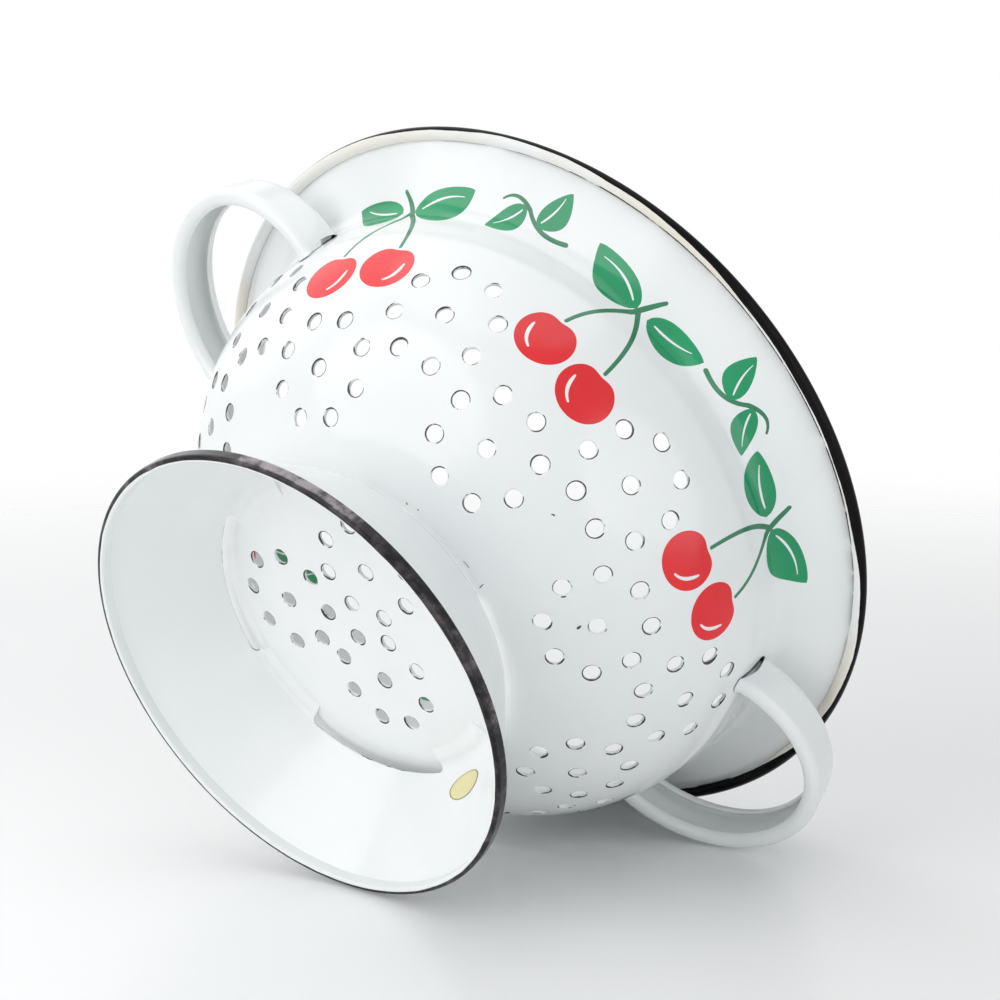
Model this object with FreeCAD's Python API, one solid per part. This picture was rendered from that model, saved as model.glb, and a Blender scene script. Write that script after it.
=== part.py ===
import FreeCAD, Part
import math
import os
from FreeCAD import Vector

# An enamelled steel colander: a perforated bowl, a slotted foot and two strap handles.
# Millimetres. Origin on the table under the middle of the foot, +Z up, handles along X.
# Round forms are made of flats, which keeps a sheet with this many drain holes light.

# Driving dimensions of the flats
ROUND_SIDES = 44            # flats in a full turn of the bowl, the foot or the loop of a handle
PUNCH_SIDES = 8             # flats round a drain hole or the end of a slot
FLAT_DEPTH = 0.3            # how far the flats of a bend may stand off its true curve

# Driving dimensions of the sheet and the bowl
SHEET = 1.2                 # pressed steel with enamel on both sides
WALL_DIAMETER = 204.0       # outside of the upright wall
BOTTOM_HEIGHT = 32.0        # underside of the bowl above the table
BOTTOM_BEND_RADIUS = 76.0   # outside radius where the bottom turns up
SIDE_BEND_RADIUS = 62.0     # outside radius where the side turns upright
BEND_CHANGE = 48.0          # slope, in degrees, where the one radius takes over from the other
WALL_BAND = 5.9             # height of the upright band
FLARE_WIDTH = 23.0          # from the upright wall out to the edge of the rolled rim
FLARE_RISE = 33.0           # slope of the flare, in degrees above level
FLARE_BEND_RADIUS = 9.0     # outside radius between the wall and the flare
BEAD_DIAMETER = 4.2         # rolled rim
BEAD_TURN = 285.0           # how far the rim is rolled, in degrees

# Driving dimensions of the drain holes, punched as flowers of one hole and a ring round it
HOLE_DIAMETER = 6.0
PETALS = 8                  # holes in the ring of a flower
FLOWER_RADIUS = 15.75       # from the middle of a flower to its ring of holes
ROW_FLOWERS = 8             # flowers in each row round the side
LOWER_ROW_TILT = 40.0       # punch direction of the lower row, in degrees from straight down
UPPER_ROW_TILT = 61.5       # punch direction of the upper row
LOWER_ROW_SPIN = 26.0       # turn of the ring within a flower of the lower row
UPPER_ROW_SPIN = 17.5       # turn of the ring within a flower of the upper row
ROW_TURN = -3.0             # where the lower row starts, in degrees from the handle
BASE_FLOWERS = 3            # flowers in the bottom
BASE_FLOWER_OFFSET = 22.8   # from the middle of the bottom to the middle of a flower
BASE_TURN = 81.5            # where the first flower of the bottom lies, in degrees from the handle
BASE_SHIFT = 4.0            # the bottom's flowers sit off the axis, towards the right handle

# Driving dimensions of the foot
FOOT_DIAMETER = 151.0       # over the folded hem
NECK_DIAMETER = 109.5       # outside of the foot's wall at the lower edge of the slots
HEM_HEIGHT = 4.0            # sheet folded up on itself round the lower edge
HEM_ROUNDING = 0.9          # rounding of the hem's corners
NECK_BEND_RADIUS = 4.5      # outside radius where the wall turns in under the bowl
SEAT_LAP = 7.0              # how far the turned-in seat runs under the bowl, past the bend
SEAT_EDGE = 0.3             # thickness left at the feathered edge of the seat
SLOT_COUNT = 4              # slots between the welded tabs
SLOT_SPAN = 59.0            # length of a slot, in degrees
SLOT_GAP = 3.2              # clear height of a slot, from the foot's wall to the bowl
SLOT_TURN = 53.0            # middle of the first slot, in degrees from the handle

# Driving dimensions of the handles
LOOP_RADIUS = 41.5          # outside of the loop, seen from above
LOOP_SET_IN = 2.3           # middle of the loop inside the upright wall
LOOP_TILT = 10.0            # the loop rises outwards, in degrees
STRAP_WIDTH = 15.7
STRAP_DROP = 6.4            # middle of the strap below the top of the upright band
STRAP_ROLL = 5.6            # outside diameter of the rolled edges of the strap
END_SLIT = 1.9              # widest opening between the end of the strap and the bowl

# Sizes that follow from those above
quarter = math.pi / 2
wall_radius = WALL_DIAMETER / 2
bead_radius = BEAD_DIAMETER / 2
bead_core = bead_radius - SHEET
rim_radius = wall_radius + FLARE_WIDTH
hole_radius = HOLE_DIAMETER / 2
floor = BOTTOM_HEIGHT + SHEET
change = math.radians(BEND_CHANGE)
rise = math.radians(FLARE_RISE)
roll = math.radians(BEAD_TURN)
side_centre = Vector(
    wall_radius - SIDE_BEND_RADIUS,
    0,
    BOTTOM_HEIGHT + BOTTOM_BEND_RADIUS - (BOTTOM_BEND_RADIUS - SIDE_BEND_RADIUS) * math.cos(change),
)
bottom_centre = Vector(
    side_centre.x - (BOTTOM_BEND_RADIUS - SIDE_BEND_RADIUS) * math.sin(change),
    0,
    BOTTOM_HEIGHT + BOTTOM_BEND_RADIUS,
)
band_top = side_centre.z + WALL_BAND


# Points, flats and solids

def polar(centre, radius, angle):
    # A point of the XZ plane, at an angle in radians from straight down, turning outwards
    return centre + Vector(radius * math.sin(angle), 0, -radius * math.cos(angle))


def bend(radius, first, last):
    # Angles of the corners between the flats of a bend
    step = 2 * math.acos(max(1 - FLAT_DEPTH / radius, 0))
    count = math.ceil(abs(last - first) / step)
    return [first + (last - first) * corner / count for corner in range(count + 1)]


def flat(corners):
    return Part.Face(Part.makePolygon(corners + corners[:1]))


def circle(point):
    # Corners of the flats that stand for the circle through a point of the XZ plane
    turns = [2 * math.pi * side / ROUND_SIDES for side in range(ROUND_SIDES)]
    return [Vector(point.x * math.cos(turn), point.x * math.sin(turn), point.z) for turn in turns]


def turned(outline):
    # The solid that a closed outline in the XZ plane sweeps round the Z axis
    faces = []
    for start, end in zip(outline, outline[1:] + outline[:1]):
        rings = [circle(point) for point in (start, end) if point.x > 0]
        if len(rings) == 1:
            faces.append(flat(rings[0]))
        if len(rings) == 2:
            one, other = rings
            for side in range(ROUND_SIDES):
                faces.append(flat([one[side - 1], one[side], other[side], other[side - 1]]))
    return Part.makeSolid(Part.Shell(faces))


def directions(along):
    # Two directions square to a punch: level, and up the slope
    across = Vector(0, 0, 1).cross(along)
    if across.Length == 0:
        across = Vector(1, 0, 0)
    across.normalize()
    return across, along.cross(across)


def punch(start, along, length, radius):
    # A bar whose flats touch a cylinder of this radius
    across, upward = directions(along)
    corner_radius = radius / math.cos(math.pi / PUNCH_SIDES)
    corners = []
    for side in range(PUNCH_SIDES):
        angle = 2 * math.pi * (side + 0.5) / PUNCH_SIDES
        corners.append(start + (across * math.cos(angle) + upward * math.sin(angle)) * corner_radius)
    return flat(corners).extrude(along * length)


def solid_of(shape):
    return max(shape.Solids, key=lambda solid: solid.Volume)


# The bowl: two skins of one sheet, a rolled rim and flowers of drain holes

# The flare turns away from the wall about a centre outside the bowl
flare_centre = Vector(wall_radius + FLARE_BEND_RADIUS, 0, band_top)
flare_along = Vector(math.cos(rise), 0, math.sin(rise))
flare_up = Vector(-math.sin(rise), 0, math.cos(rise))
flare_start = flare_centre + flare_up * FLARE_BEND_RADIUS
bead_offset = flare_up * (SHEET - bead_radius)
bead_run = (rim_radius - bead_radius - flare_start.x - bead_offset.x) / flare_along.x
bead_centre = flare_start + flare_along * bead_run + bead_offset
height = bead_centre.z + bead_radius


def bowl_skin(depth):
    # One face of the sheet from the flat bottom to the flare, at a depth inside the bowl's outside
    bottom = [
        polar(bottom_centre, BOTTOM_BEND_RADIUS - depth, angle)
        for angle in bend(BOTTOM_BEND_RADIUS, 0, change)
    ]
    side = [
        polar(side_centre, SIDE_BEND_RADIUS - depth, angle)
        for angle in bend(SIDE_BEND_RADIUS, change, quarter)
    ]
    flare = [
        polar(flare_centre, FLARE_BEND_RADIUS + depth, angle)
        for angle in bend(FLARE_BEND_RADIUS, -quarter, rise - math.pi)
    ]
    return bottom + side[1:] + flare


def on_bead(radius, turn):
    # A point of the rolled rim, at a turn in radians from the flare's upper face
    return bead_centre + flare_up * (radius * math.cos(turn)) + flare_along * (radius * math.sin(turn))


def bowl_outline():
    turns = bend(bead_radius, 0, roll)
    core = [on_bead(bead_core, turn) for turn in turns]
    bead = [on_bead(bead_radius, turn) for turn in turns]
    outside = [Vector(0, 0, BOTTOM_HEIGHT)] + bowl_skin(0) + core
    inside = [Vector(0, 0, floor)] + bowl_skin(SHEET) + bead
    return outside + inside[::-1]


def flower(centre, along, spin):
    # Punches for one flower: along is the punch direction, spin turns the ring of holes
    across, upward = directions(along)
    # The bowl curves away from the punch plane by the depth of its tightest bend
    reach = FLOWER_RADIUS + hole_radius
    depth = reach * reach / min(BOTTOM_BEND_RADIUS, SIDE_BEND_RADIUS) + SHEET
    places = [centre]
    for petal in range(PETALS):
        angle = math.radians(spin + petal * 360 / PETALS)
        places.append(centre + (across * math.cos(angle) + upward * math.sin(angle)) * FLOWER_RADIUS)
    return [punch(place - along * depth, along, 2 * depth, hole_radius) for place in places]


def row_of_flowers(tilt, spin, first):
    slope = math.radians(tilt)
    along = Vector(math.sin(slope), 0, -math.cos(slope))
    place = polar(bottom_centre, BOTTOM_BEND_RADIUS, slope)
    if slope > change:
        place = polar(side_centre, SIDE_BEND_RADIUS, slope)
    punches = []
    for index in range(ROW_FLOWERS):
        turn = FreeCAD.Rotation(Vector(0, 0, 1), first + index * 360 / ROW_FLOWERS)
        punches += flower(turn.multVec(place), turn.multVec(along), spin)
    return punches


def base_flowers():
    punches = []
    for index in range(BASE_FLOWERS):
        turn = BASE_TURN + index * 360 / BASE_FLOWERS
        out = FreeCAD.Rotation(Vector(0, 0, 1), turn).multVec(Vector(BASE_FLOWER_OFFSET, 0, 0))
        punches += flower(out + Vector(BASE_SHIFT, 0, BOTTOM_HEIGHT), Vector(0, 0, -1), -turn)
    return punches


def make_bowl():
    punches = row_of_flowers(LOWER_ROW_TILT, LOWER_ROW_SPIN, ROW_TURN)
    punches += row_of_flowers(UPPER_ROW_TILT, UPPER_ROW_SPIN, ROW_TURN + 180 / ROW_FLOWERS)
    punches += base_flowers()
    return turned(bowl_outline()).cut(Part.makeCompound(punches))


# The foot: folded hem, flared wall, and a seat turned in under the bowl and cut into tabs

foot_radius = FOOT_DIAMETER / 2
neck_radius = NECK_DIAMETER / 2
hem_inside = foot_radius - 2 * SHEET


def bowl_underside(radial):
    # The point of the bowl's outside at a distance from the axis, on the flat that it falls on
    corners = [Vector(0, 0, BOTTOM_HEIGHT)] + bowl_skin(0)
    for near, far in zip(corners, corners[1:]):
        if near.x <= radial <= far.x:
            return near + (far - near) * ((radial - near.x) / (far.x - near.x))


slot_edge = bowl_underside(neck_radius).z - SLOT_GAP
wall_low = Vector(foot_radius - SHEET, 0, HEM_HEIGHT)
wall_along = (Vector(neck_radius, 0, slot_edge) - wall_low).normalize()
wall_in = Vector(-wall_along.z, 0, wall_along.x)


def neck_bend_centre():
    # A circle that touches the wall's outside from within and the bowl's outside from below
    base = wall_low + wall_in * NECK_BEND_RADIUS - bottom_centre
    half = base.dot(wall_along)
    rest = base.dot(base) - (BOTTOM_BEND_RADIUS + NECK_BEND_RADIUS) ** 2
    along = -half - math.sqrt(half * half - rest)
    return wall_low + wall_in * NECK_BEND_RADIUS + wall_along * along


def foot_seat(contact):
    # The seat's upper face, on the flats of the bowl, from the bend inwards to its thin edge
    edge = contact - SEAT_LAP
    corners = [corner for corner in bowl_skin(0)[::-1] if edge < corner.x < contact]
    return [bowl_underside(contact)] + corners + [bowl_underside(edge)]


def foot_outline():
    centre = neck_bend_centre()
    to_bowl = (bottom_centre - centre).normalize()
    outwards = math.atan2(-wall_in.x, wall_in.z)
    inwards = math.atan2(to_bowl.x, -to_bowl.z) % (2 * math.pi)
    neck = bend(NECK_BEND_RADIUS, outwards, inwards)
    seat = foot_seat((centre + to_bowl * NECK_BEND_RADIUS).x)
    inner_wall = wall_low + wall_in * SHEET
    inner_foot = inner_wall + wall_along * ((hem_inside - inner_wall.x) / wall_along.x)
    inner_round = Vector(hem_inside + HEM_ROUNDING, 0, HEM_ROUNDING)
    outer_round = Vector(foot_radius - HEM_ROUNDING, 0, HEM_ROUNDING)
    return (
        [polar(inner_round, HEM_ROUNDING, angle) for angle in bend(HEM_ROUNDING, -quarter, 0)]
        + [polar(outer_round, HEM_ROUNDING, angle) for angle in bend(HEM_ROUNDING, 0, quarter)]
        + [Vector(foot_radius, 0, HEM_HEIGHT), wall_low]
        + [polar(centre, NECK_BEND_RADIUS, angle) for angle in neck[:-1]]
        + seat
        + [seat[-1] - Vector(0, 0, SEAT_EDGE)]
        + [polar(centre, NECK_BEND_RADIUS - SHEET, angle) for angle in neck[::-1]]
        + [inner_foot]
    )


def ring_wedge(inner, outer, low, high, span):
    # Part of a ring round the Z axis, over an angle with +X in its middle
    section = flat([
        Vector(inner, 0, low),
        Vector(outer, 0, low),
        Vector(outer, 0, high),
        Vector(inner, 0, high),
    ])
    wedge = section.revolve(Vector(), Vector(0, 0, 1), span)
    wedge.rotate(Vector(), Vector(0, 0, 1), -span / 2)
    return wedge


def slot_cutter():
    # One slot: through the seat, and down the wall to the slot's edge, where its corners are rounded
    top = slot_edge + 2 * SLOT_GAP + SHEET
    under_seat = BOTTOM_HEIGHT - SEAT_EDGE - SHEET
    bend_inside = neck_radius - NECK_BEND_RADIUS
    seat_inside = bend_inside - 2 * SEAT_LAP
    outer = neck_radius + SHEET
    span = SLOT_SPAN - 2 * math.degrees(SLOT_GAP / neck_radius)
    ends = []
    for angle in (-span / 2, span / 2):
        out = FreeCAD.Rotation(Vector(0, 0, 1), angle).multVec(Vector(1, 0, 0))
        start = out * seat_inside + Vector(0, 0, slot_edge + SLOT_GAP)
        ends.append(punch(start, out, outer - seat_inside, SLOT_GAP))
    through_seat = ring_wedge(seat_inside, bend_inside, under_seat, top, SLOT_SPAN)
    cutter = ring_wedge(seat_inside, outer, slot_edge, top, span).multiFuse(ends + [through_seat])
    cutter.rotate(Vector(), Vector(0, 0, 1), SLOT_TURN)
    return cutter


def make_foot():
    cutters = []
    for index in range(SLOT_COUNT):
        cutter = slot_cutter()
        cutter.rotate(Vector(), Vector(0, 0, 1), index * 360 / SLOT_COUNT)
        cutters.append(cutter)
    return turned(foot_outline()).cut(cutters)


# The handles: a strap with both edges rolled inwards, bent to a loop and welded to the bowl

loop_centre = Vector(wall_radius - LOOP_SET_IN, 0, band_top - STRAP_DROP)
roll_radius = STRAP_ROLL / 2
roll_core = roll_radius - SHEET


def on_the_bowl(shape):
    # From the loop's own frame, with its axis upright, to its place on the right of the bowl
    shape.rotate(Vector(), Vector(0, 1, 0), -LOOP_TILT)
    shape.translate(loop_centre)
    return shape


def strap_outline():
    # Section of the strap at the tip of the loop, drawn from the loop's own axis
    middle = Vector(LOOP_RADIUS - roll_radius, 0, 0)
    upper = middle + Vector(0, 0, STRAP_WIDTH / 2 - roll_radius)
    lower = middle - Vector(0, 0, STRAP_WIDTH / 2 - roll_radius)
    upper_roll = bend(roll_radius, quarter, 3 * quarter)
    lower_roll = bend(roll_radius, quarter, -quarter)
    return (
        [polar(upper, roll_radius, angle) for angle in upper_roll]
        + [polar(upper, roll_core, angle) for angle in upper_roll[::-1]]
        + [polar(lower, roll_core, angle) for angle in lower_roll]
        + [polar(lower, roll_radius, angle) for angle in lower_roll[::-1]]
    )


def bowl_core():
    # The space that the bowl's outside takes up, closed across the rim
    flare_end = on_bead(bead_core, 0)
    return turned([Vector(0, 0, BOTTOM_HEIGHT)] + bowl_skin(0) + [flare_end, Vector(0, 0, flare_end.z)])


def end_slit_cutter():
    # The strap's outer face stops short of the bowl, by a slit that opens towards the rim
    low = loop_centre.z - STRAP_WIDTH / 2
    high = loop_centre.z + STRAP_WIDTH / 2
    drop = min(max(side_centre.z - low, 0), SIDE_BEND_RADIUS)
    low_radius = side_centre.x + math.sqrt(SIDE_BEND_RADIUS ** 2 - drop ** 2)
    wedge = turned([
        Vector(0, 0, low),
        Vector(low_radius, 0, low),
        Vector(wall_radius + END_SLIT, 0, high),
        Vector(0, 0, high),
    ])
    skin_inside = LOOP_RADIUS - SHEET - roll_radius / 2
    skin_outside = LOOP_RADIUS + SHEET
    skin = turned([
        Vector(skin_inside, 0, -STRAP_WIDTH / 2),
        Vector(skin_outside, 0, -STRAP_WIDTH / 2),
        Vector(skin_outside, 0, STRAP_WIDTH / 2),
        Vector(skin_inside, 0, STRAP_WIDTH / 2),
    ])
    return wedge.common(on_the_bowl(skin))


def make_handle():
    strap = on_the_bowl(turned(strap_outline()))
    return strap.cut(bowl_core()).cut(end_slit_cutter())


os.makedirs("parts", exist_ok=True)
handle = solid_of(make_handle())
other_handle = handle.copy()
other_handle.rotate(Vector(), Vector(0, 0, 1), 180)
pieces = {
    "bowl": solid_of(make_bowl()),
    "foot": solid_of(make_foot()),
    "handle_right": handle,
    "handle_left": other_handle,
}
for name, shape in pieces.items():
    box = shape.BoundBox
    size = "%.1f x %.1f x %.1f" % (box.XLength, box.YLength, box.ZLength)
    print(name, "valid" if shape.isValid() else "not valid", size, "volume %.0f" % shape.Volume)
    shape.exportStep("parts/" + name + ".step")
print("height %.1f, rim %.1f across" % (height, 2 * rim_radius))
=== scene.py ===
# %% [markdown]
# # An enamelled colander
# The colander is pressed from thin steel sheet and fired with white glass enamel. The CAD part gives its
# size and its place, but its round forms are made of flats. Here each piece is made again as a fine mesh
# on the same curves, and gets its glaze, its print, its black edges and its wear.
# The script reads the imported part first, and notes how large it is.

import bpy
import math
import numpy as np
from mathutils import Matrix, Vector
from mathutils.geometry import delaunay_2d_cdt


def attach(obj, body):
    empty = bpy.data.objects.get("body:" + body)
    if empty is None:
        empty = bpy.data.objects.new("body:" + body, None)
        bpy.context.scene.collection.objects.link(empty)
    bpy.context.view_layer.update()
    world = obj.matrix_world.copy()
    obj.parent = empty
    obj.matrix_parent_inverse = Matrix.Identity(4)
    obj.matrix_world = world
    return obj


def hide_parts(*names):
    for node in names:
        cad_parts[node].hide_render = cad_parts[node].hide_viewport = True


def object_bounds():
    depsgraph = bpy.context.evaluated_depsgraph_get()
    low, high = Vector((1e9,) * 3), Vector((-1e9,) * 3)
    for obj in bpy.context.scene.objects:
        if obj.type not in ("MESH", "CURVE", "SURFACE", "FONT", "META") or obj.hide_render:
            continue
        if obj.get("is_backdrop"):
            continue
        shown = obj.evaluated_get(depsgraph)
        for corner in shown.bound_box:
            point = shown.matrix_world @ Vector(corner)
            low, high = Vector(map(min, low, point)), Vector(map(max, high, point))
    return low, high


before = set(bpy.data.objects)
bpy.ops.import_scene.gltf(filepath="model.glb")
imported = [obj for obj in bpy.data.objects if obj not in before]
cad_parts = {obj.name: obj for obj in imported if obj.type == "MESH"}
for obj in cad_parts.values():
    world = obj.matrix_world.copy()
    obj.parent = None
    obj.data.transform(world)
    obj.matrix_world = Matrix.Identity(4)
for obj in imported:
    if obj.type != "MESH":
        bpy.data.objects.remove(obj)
cad_low, cad_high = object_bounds()
print("CAD box from", tuple(cad_low), "to", tuple(cad_high))

# %% [markdown]
# ## Directions and turns
# Nearly every piece of the colander is round, so a few steps of geometry come back all the time: a
# direction at an angle, the direction square to it, a point turned to its place round the axis. They are
# helpers, so that the pieces below read as what they are. They work on whole arrays at once, which is far
# quicker than a loop over points. Lengths are in millimetres until a mesh is made.

# %% Helpers for directions
QUARTER = math.pi / 2


def unit(vectors):
    """Vectors of length one."""
    return vectors / np.linalg.norm(vectors, axis=-1, keepdims=True)


def toward(angle):
    """The flat direction at an angle."""
    return np.stack([np.cos(angle), np.sin(angle)], -1)


def left_of(way):
    """The flat direction a quarter turn to the left of another."""
    return np.stack([-way[..., 1], way[..., 0]], -1)


def around(r, z, turn):
    """Points, or directions, of a radius and a height, at a turn round the axis."""
    return np.stack(np.broadcast_arrays(r * np.cos(turn), r * np.sin(turn), z), -1)


def radius_of(points):
    """Distances of points from the axis."""
    return np.hypot(points[..., 0], points[..., 1])


def turn_of(points):
    """Turns of points round the axis."""
    return np.arctan2(points[..., 1], points[..., 0])


def steps_round(count):
    """Equal steps round a full turn."""
    return np.arange(count) * 2 * math.pi / count


print("a quarter turn is %.4f radians" % QUARTER)

# %% [markdown]
# ## The line that the bowl is turned from
# A bowl like this is spun or pressed, so one line drawn from the middle of the bottom to the rim says all
# about its shape. It could be a curve object that is spun. Here it is a formula: a flat bottom, two arcs,
# an upright band, a bend and a straight flare, which run into each other without a kink. The rim is
# rolled to a bead that reaches the widest radius, and the flare is as long as that asks for.

# %% The bowl's line
SHEET = 1.2
BOTTOM_Z = 32.0
BOTTOM_BEND = 76.0
SIDE_BEND = 62.0
CHANGE = math.radians(48)
WALL_R = 102.0
WALL_BAND = 5.9
FLARE_BEND = 9.0
FLARE_RISE = math.radians(33)
RIM_R = 125.0
BEAD_R = 2.1

mids_apart = (BOTTOM_BEND - SIDE_BEND) * toward(CHANGE)
SIDE_MID = np.array([WALL_R - SIDE_BEND, BOTTOM_Z + BOTTOM_BEND - mids_apart[0]])
BOTTOM_MID = np.array([SIDE_MID[0] - mids_apart[1], BOTTOM_Z + BOTTOM_BEND])
BAND_TOP = SIDE_MID[1] + WALL_BAND
FLARE_MID = np.array([WALL_R + FLARE_BEND, BAND_TOP])
FLARE_ALONG = toward(FLARE_RISE)
FLARE_UP = left_of(FLARE_ALONG)
FLARE_START = FLARE_MID + FLARE_UP * FLARE_BEND
bead_shift = FLARE_UP * (SHEET - BEAD_R)
flare_length = (RIM_R - BEAD_R - FLARE_START[0] - bead_shift[0]) / FLARE_ALONG[0]
BEAD_MID = FLARE_START + FLARE_ALONG * flare_length + bead_shift

S_FLAT = BOTTOM_MID[0]
S_CHANGE = S_FLAT + BOTTOM_BEND * CHANGE
S_UPRIGHT = S_CHANGE + SIDE_BEND * (QUARTER - CHANGE)
S_BAND = S_UPRIGHT + WALL_BAND
S_FLARE = S_BAND + FLARE_BEND * (QUARTER - FLARE_RISE)
S_RIM = S_FLARE + flare_length
ZONE_ENDS = [S_FLAT, S_CHANGE, S_UPRIGHT, S_BAND, S_FLARE]
print("the bowl's line is %.1f mm long, from the middle to the rolled rim" % S_RIM)

# %% [markdown]
# A point on the bowl is named by two numbers: its length s along the line, and its turn round the axis.
# The direction that the skin faces comes from the same formula. It shades far more smoothly than normals
# that are averaged from triangles.

# %% Points on the bowl
def by_zone(s, zone_values, flare_value):
    """The value of the zone of the line in which each length s lies."""
    return np.select([s < end for end in ZONE_ENDS], zone_values, flare_value)


def slope_at(s):
    """Angle of the skin at lengths s along the line, from level underneath to upright."""
    bottom = (s - S_FLAT) / BOTTOM_BEND
    side = CHANGE + (s - S_CHANGE) / SIDE_BEND
    flare = QUARTER - (s - S_BAND) / FLARE_BEND
    return by_zone(s, [s * 0, bottom, side, s * 0 + QUARTER, flare], FLARE_RISE)


def line_at(s):
    """Radius and height of the bowl's outside at lengths s along its line."""
    face_r = np.sin(slope_at(s))
    face_z = -np.cos(slope_at(s))
    r = by_zone(s, [
        s,
        BOTTOM_MID[0] + BOTTOM_BEND * face_r,
        SIDE_MID[0] + SIDE_BEND * face_r,
        s * 0 + WALL_R,
        FLARE_MID[0] - FLARE_BEND * face_r,
    ], FLARE_START[0] + FLARE_ALONG[0] * (s - S_FLARE))
    z = by_zone(s, [
        s * 0 + BOTTOM_Z,
        BOTTOM_MID[1] + BOTTOM_BEND * face_z,
        SIDE_MID[1] + SIDE_BEND * face_z,
        SIDE_MID[1] + s - S_UPRIGHT,
        FLARE_MID[1] - FLARE_BEND * face_z,
    ], FLARE_START[1] + FLARE_ALONG[1] * (s - S_FLARE))
    return r, z


def facing(s, turn):
    """Direction that the bowl's outside faces."""
    slope = slope_at(s)
    return around(np.sin(slope), -np.cos(slope), turn)


def on_bowl(s, turn):
    """Points of the bowl's outside."""
    r, z = line_at(s)
    return around(r, z, turn)


print("the flare starts at radius %.1f and height %.1f mm" % line_at(S_FLARE))

# %% [markdown]
# Holes and handles have to find the bowl from a point in space. A ray cast on the mesh could do that, but
# for arcs and straight lines the nearest place has an exact answer.

# %% From a point in space to the bowl
def locate(points):
    """Distance outside the bowl's skin, and the length along its line, for points near it."""
    r = radius_of(points)
    z = points[..., 2]
    bottom = np.arctan2(r - BOTTOM_MID[0], BOTTOM_MID[1] - z)
    side = np.arctan2(r - SIDE_MID[0], SIDE_MID[1] - z)
    flare = np.arctan2(z - FLARE_MID[1], FLARE_MID[0] - r)
    run = (r - FLARE_START[0]) * FLARE_ALONG[0] + (z - FLARE_START[1]) * FLARE_ALONG[1]
    above = (r - FLARE_START[0]) * FLARE_UP[0] + (z - FLARE_START[1]) * FLARE_UP[1]
    zones = [
        (r < S_FLAT) & (z < BOTTOM_MID[1]),
        bottom < CHANGE,
        side < QUARTER,
        z < BAND_TOP,
        flare < QUARTER - FLARE_RISE,
    ]
    distance = np.select(zones, [
        BOTTOM_Z - z,
        np.hypot(r - BOTTOM_MID[0], z - BOTTOM_MID[1]) - BOTTOM_BEND,
        np.hypot(r - SIDE_MID[0], z - SIDE_MID[1]) - SIDE_BEND,
        r - WALL_R,
        FLARE_BEND - np.hypot(r - FLARE_MID[0], z - FLARE_MID[1]),
    ], -above)
    length = np.select(zones, [
        r,
        S_FLAT + BOTTOM_BEND * bottom,
        S_CHANGE + SIDE_BEND * (side - CHANGE),
        S_UPRIGHT + z - SIDE_MID[1],
        S_BAND + FLARE_BEND * flare,
    ], S_FLARE + run)
    return distance, length


print("the bead's middle lies %.2f mm outside the bowl" % locate(np.insert(BEAD_MID, 1, 0))[0])

# %% [markdown]
# ## Drain holes
# The holes are punched in flowers, one hole with eight round it: three flowers in the bottom and two rows
# of eight round the side. All holes of a flower are punched in one direction, so the outer ones go
# through the sheet at a slant. A row is given by the tilt of its punch, the spin of its petals and the
# turn of its first flower, in degrees.

# %% Where the holes are
PETALS = 8
FLOWER_R = 15.75
ROWS = [(40.0, 26.0, -3.0), (61.5, 17.5, 19.5)]
ROW_FLOWERS = 8
BASE_FLOWERS = 3
BASE_OFFSET = 22.8
BASE_TURN = 81.5
BASE_SHIFT = np.array([4.0, 0, 0])
DOWN = np.array([0, 0, -1.0])
SIDEWAYS = np.array([1.0, 0, 0])


def flower(middle, punch, spin):
    """Places, punch directions and two square directions of the holes of one flower."""
    level = np.array([-punch[1], punch[0], 0])
    level = unit(level) if level.any() else SIDEWAYS
    upward = np.cross(punch, level)
    angles = np.radians(spin + np.arange(PETALS) * 360 / PETALS)
    petals = middle + (np.outer(np.cos(angles), level) + np.outer(np.sin(angles), upward)) * FLOWER_R
    return [(place, punch, level, upward) for place in (middle, *petals)]


holes = []
for tilt, spin, first in ROWS:
    s_row = np.interp(math.radians(tilt), [0, CHANGE, QUARTER], [S_FLAT, S_CHANGE, S_UPRIGHT])
    for turn in np.radians(first + np.arange(ROW_FLOWERS) * 360 / ROW_FLOWERS):
        holes += flower(on_bowl(s_row, turn), facing(s_row, turn), spin)
for degrees in BASE_TURN + np.arange(BASE_FLOWERS) * 360 / BASE_FLOWERS:
    holes += flower(around(BASE_OFFSET, BOTTOM_Z, math.radians(degrees)) + BASE_SHIFT, DOWN, -degrees)
hole_place, hole_punch, hole_level, hole_upward = [np.array(row)[:, None] for row in zip(*holes)]
print(len(holes), "drain holes")

# %% [markdown]
# Cutting the holes with a Boolean modifier would leave ragged triangles and sharp edges. Instead, each
# hole is a set of rings that the skin is joined to. A ring starts square to the punch and is moved along
# the punch direction until it lies on the skin, or at some depth below it.

# %% Rings round the holes
HOLE_POINTS = 28
PUNCH_STEPS = 6
hole_angles = steps_round(HOLE_POINTS)[:, None]
hole_out = hole_level * np.cos(hole_angles) + hole_upward * np.sin(hole_angles)


def hole_ring(radius, depth):
    """Rings round all the holes, at a radius from the punch's axis and a depth below the skin."""
    points = hole_place + hole_out * radius
    for step in range(PUNCH_STEPS):
        distance, s = locate(points)
        square = (facing(s, turn_of(points)) * hole_punch).sum(-1)
        points = points - hole_punch * ((distance + depth) / square)[..., None]
    return points, locate(points)[1], turn_of(points)


print("a hole's ring has", HOLE_POINTS, "points")

# %% [markdown]
# ## The print
# The white bowl carries a print in red and two greens: sprigs of cherries, and twigs with two leaves
# between them. A print could be an image or a shader mask. Here its outlines are cut into the mesh of the
# skin, and the faces inside them get a coloured glaze, so the edges stay sharp however close the camera
# comes. Each shape is drawn flat, in millimetres round the middle of its motif.

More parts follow.
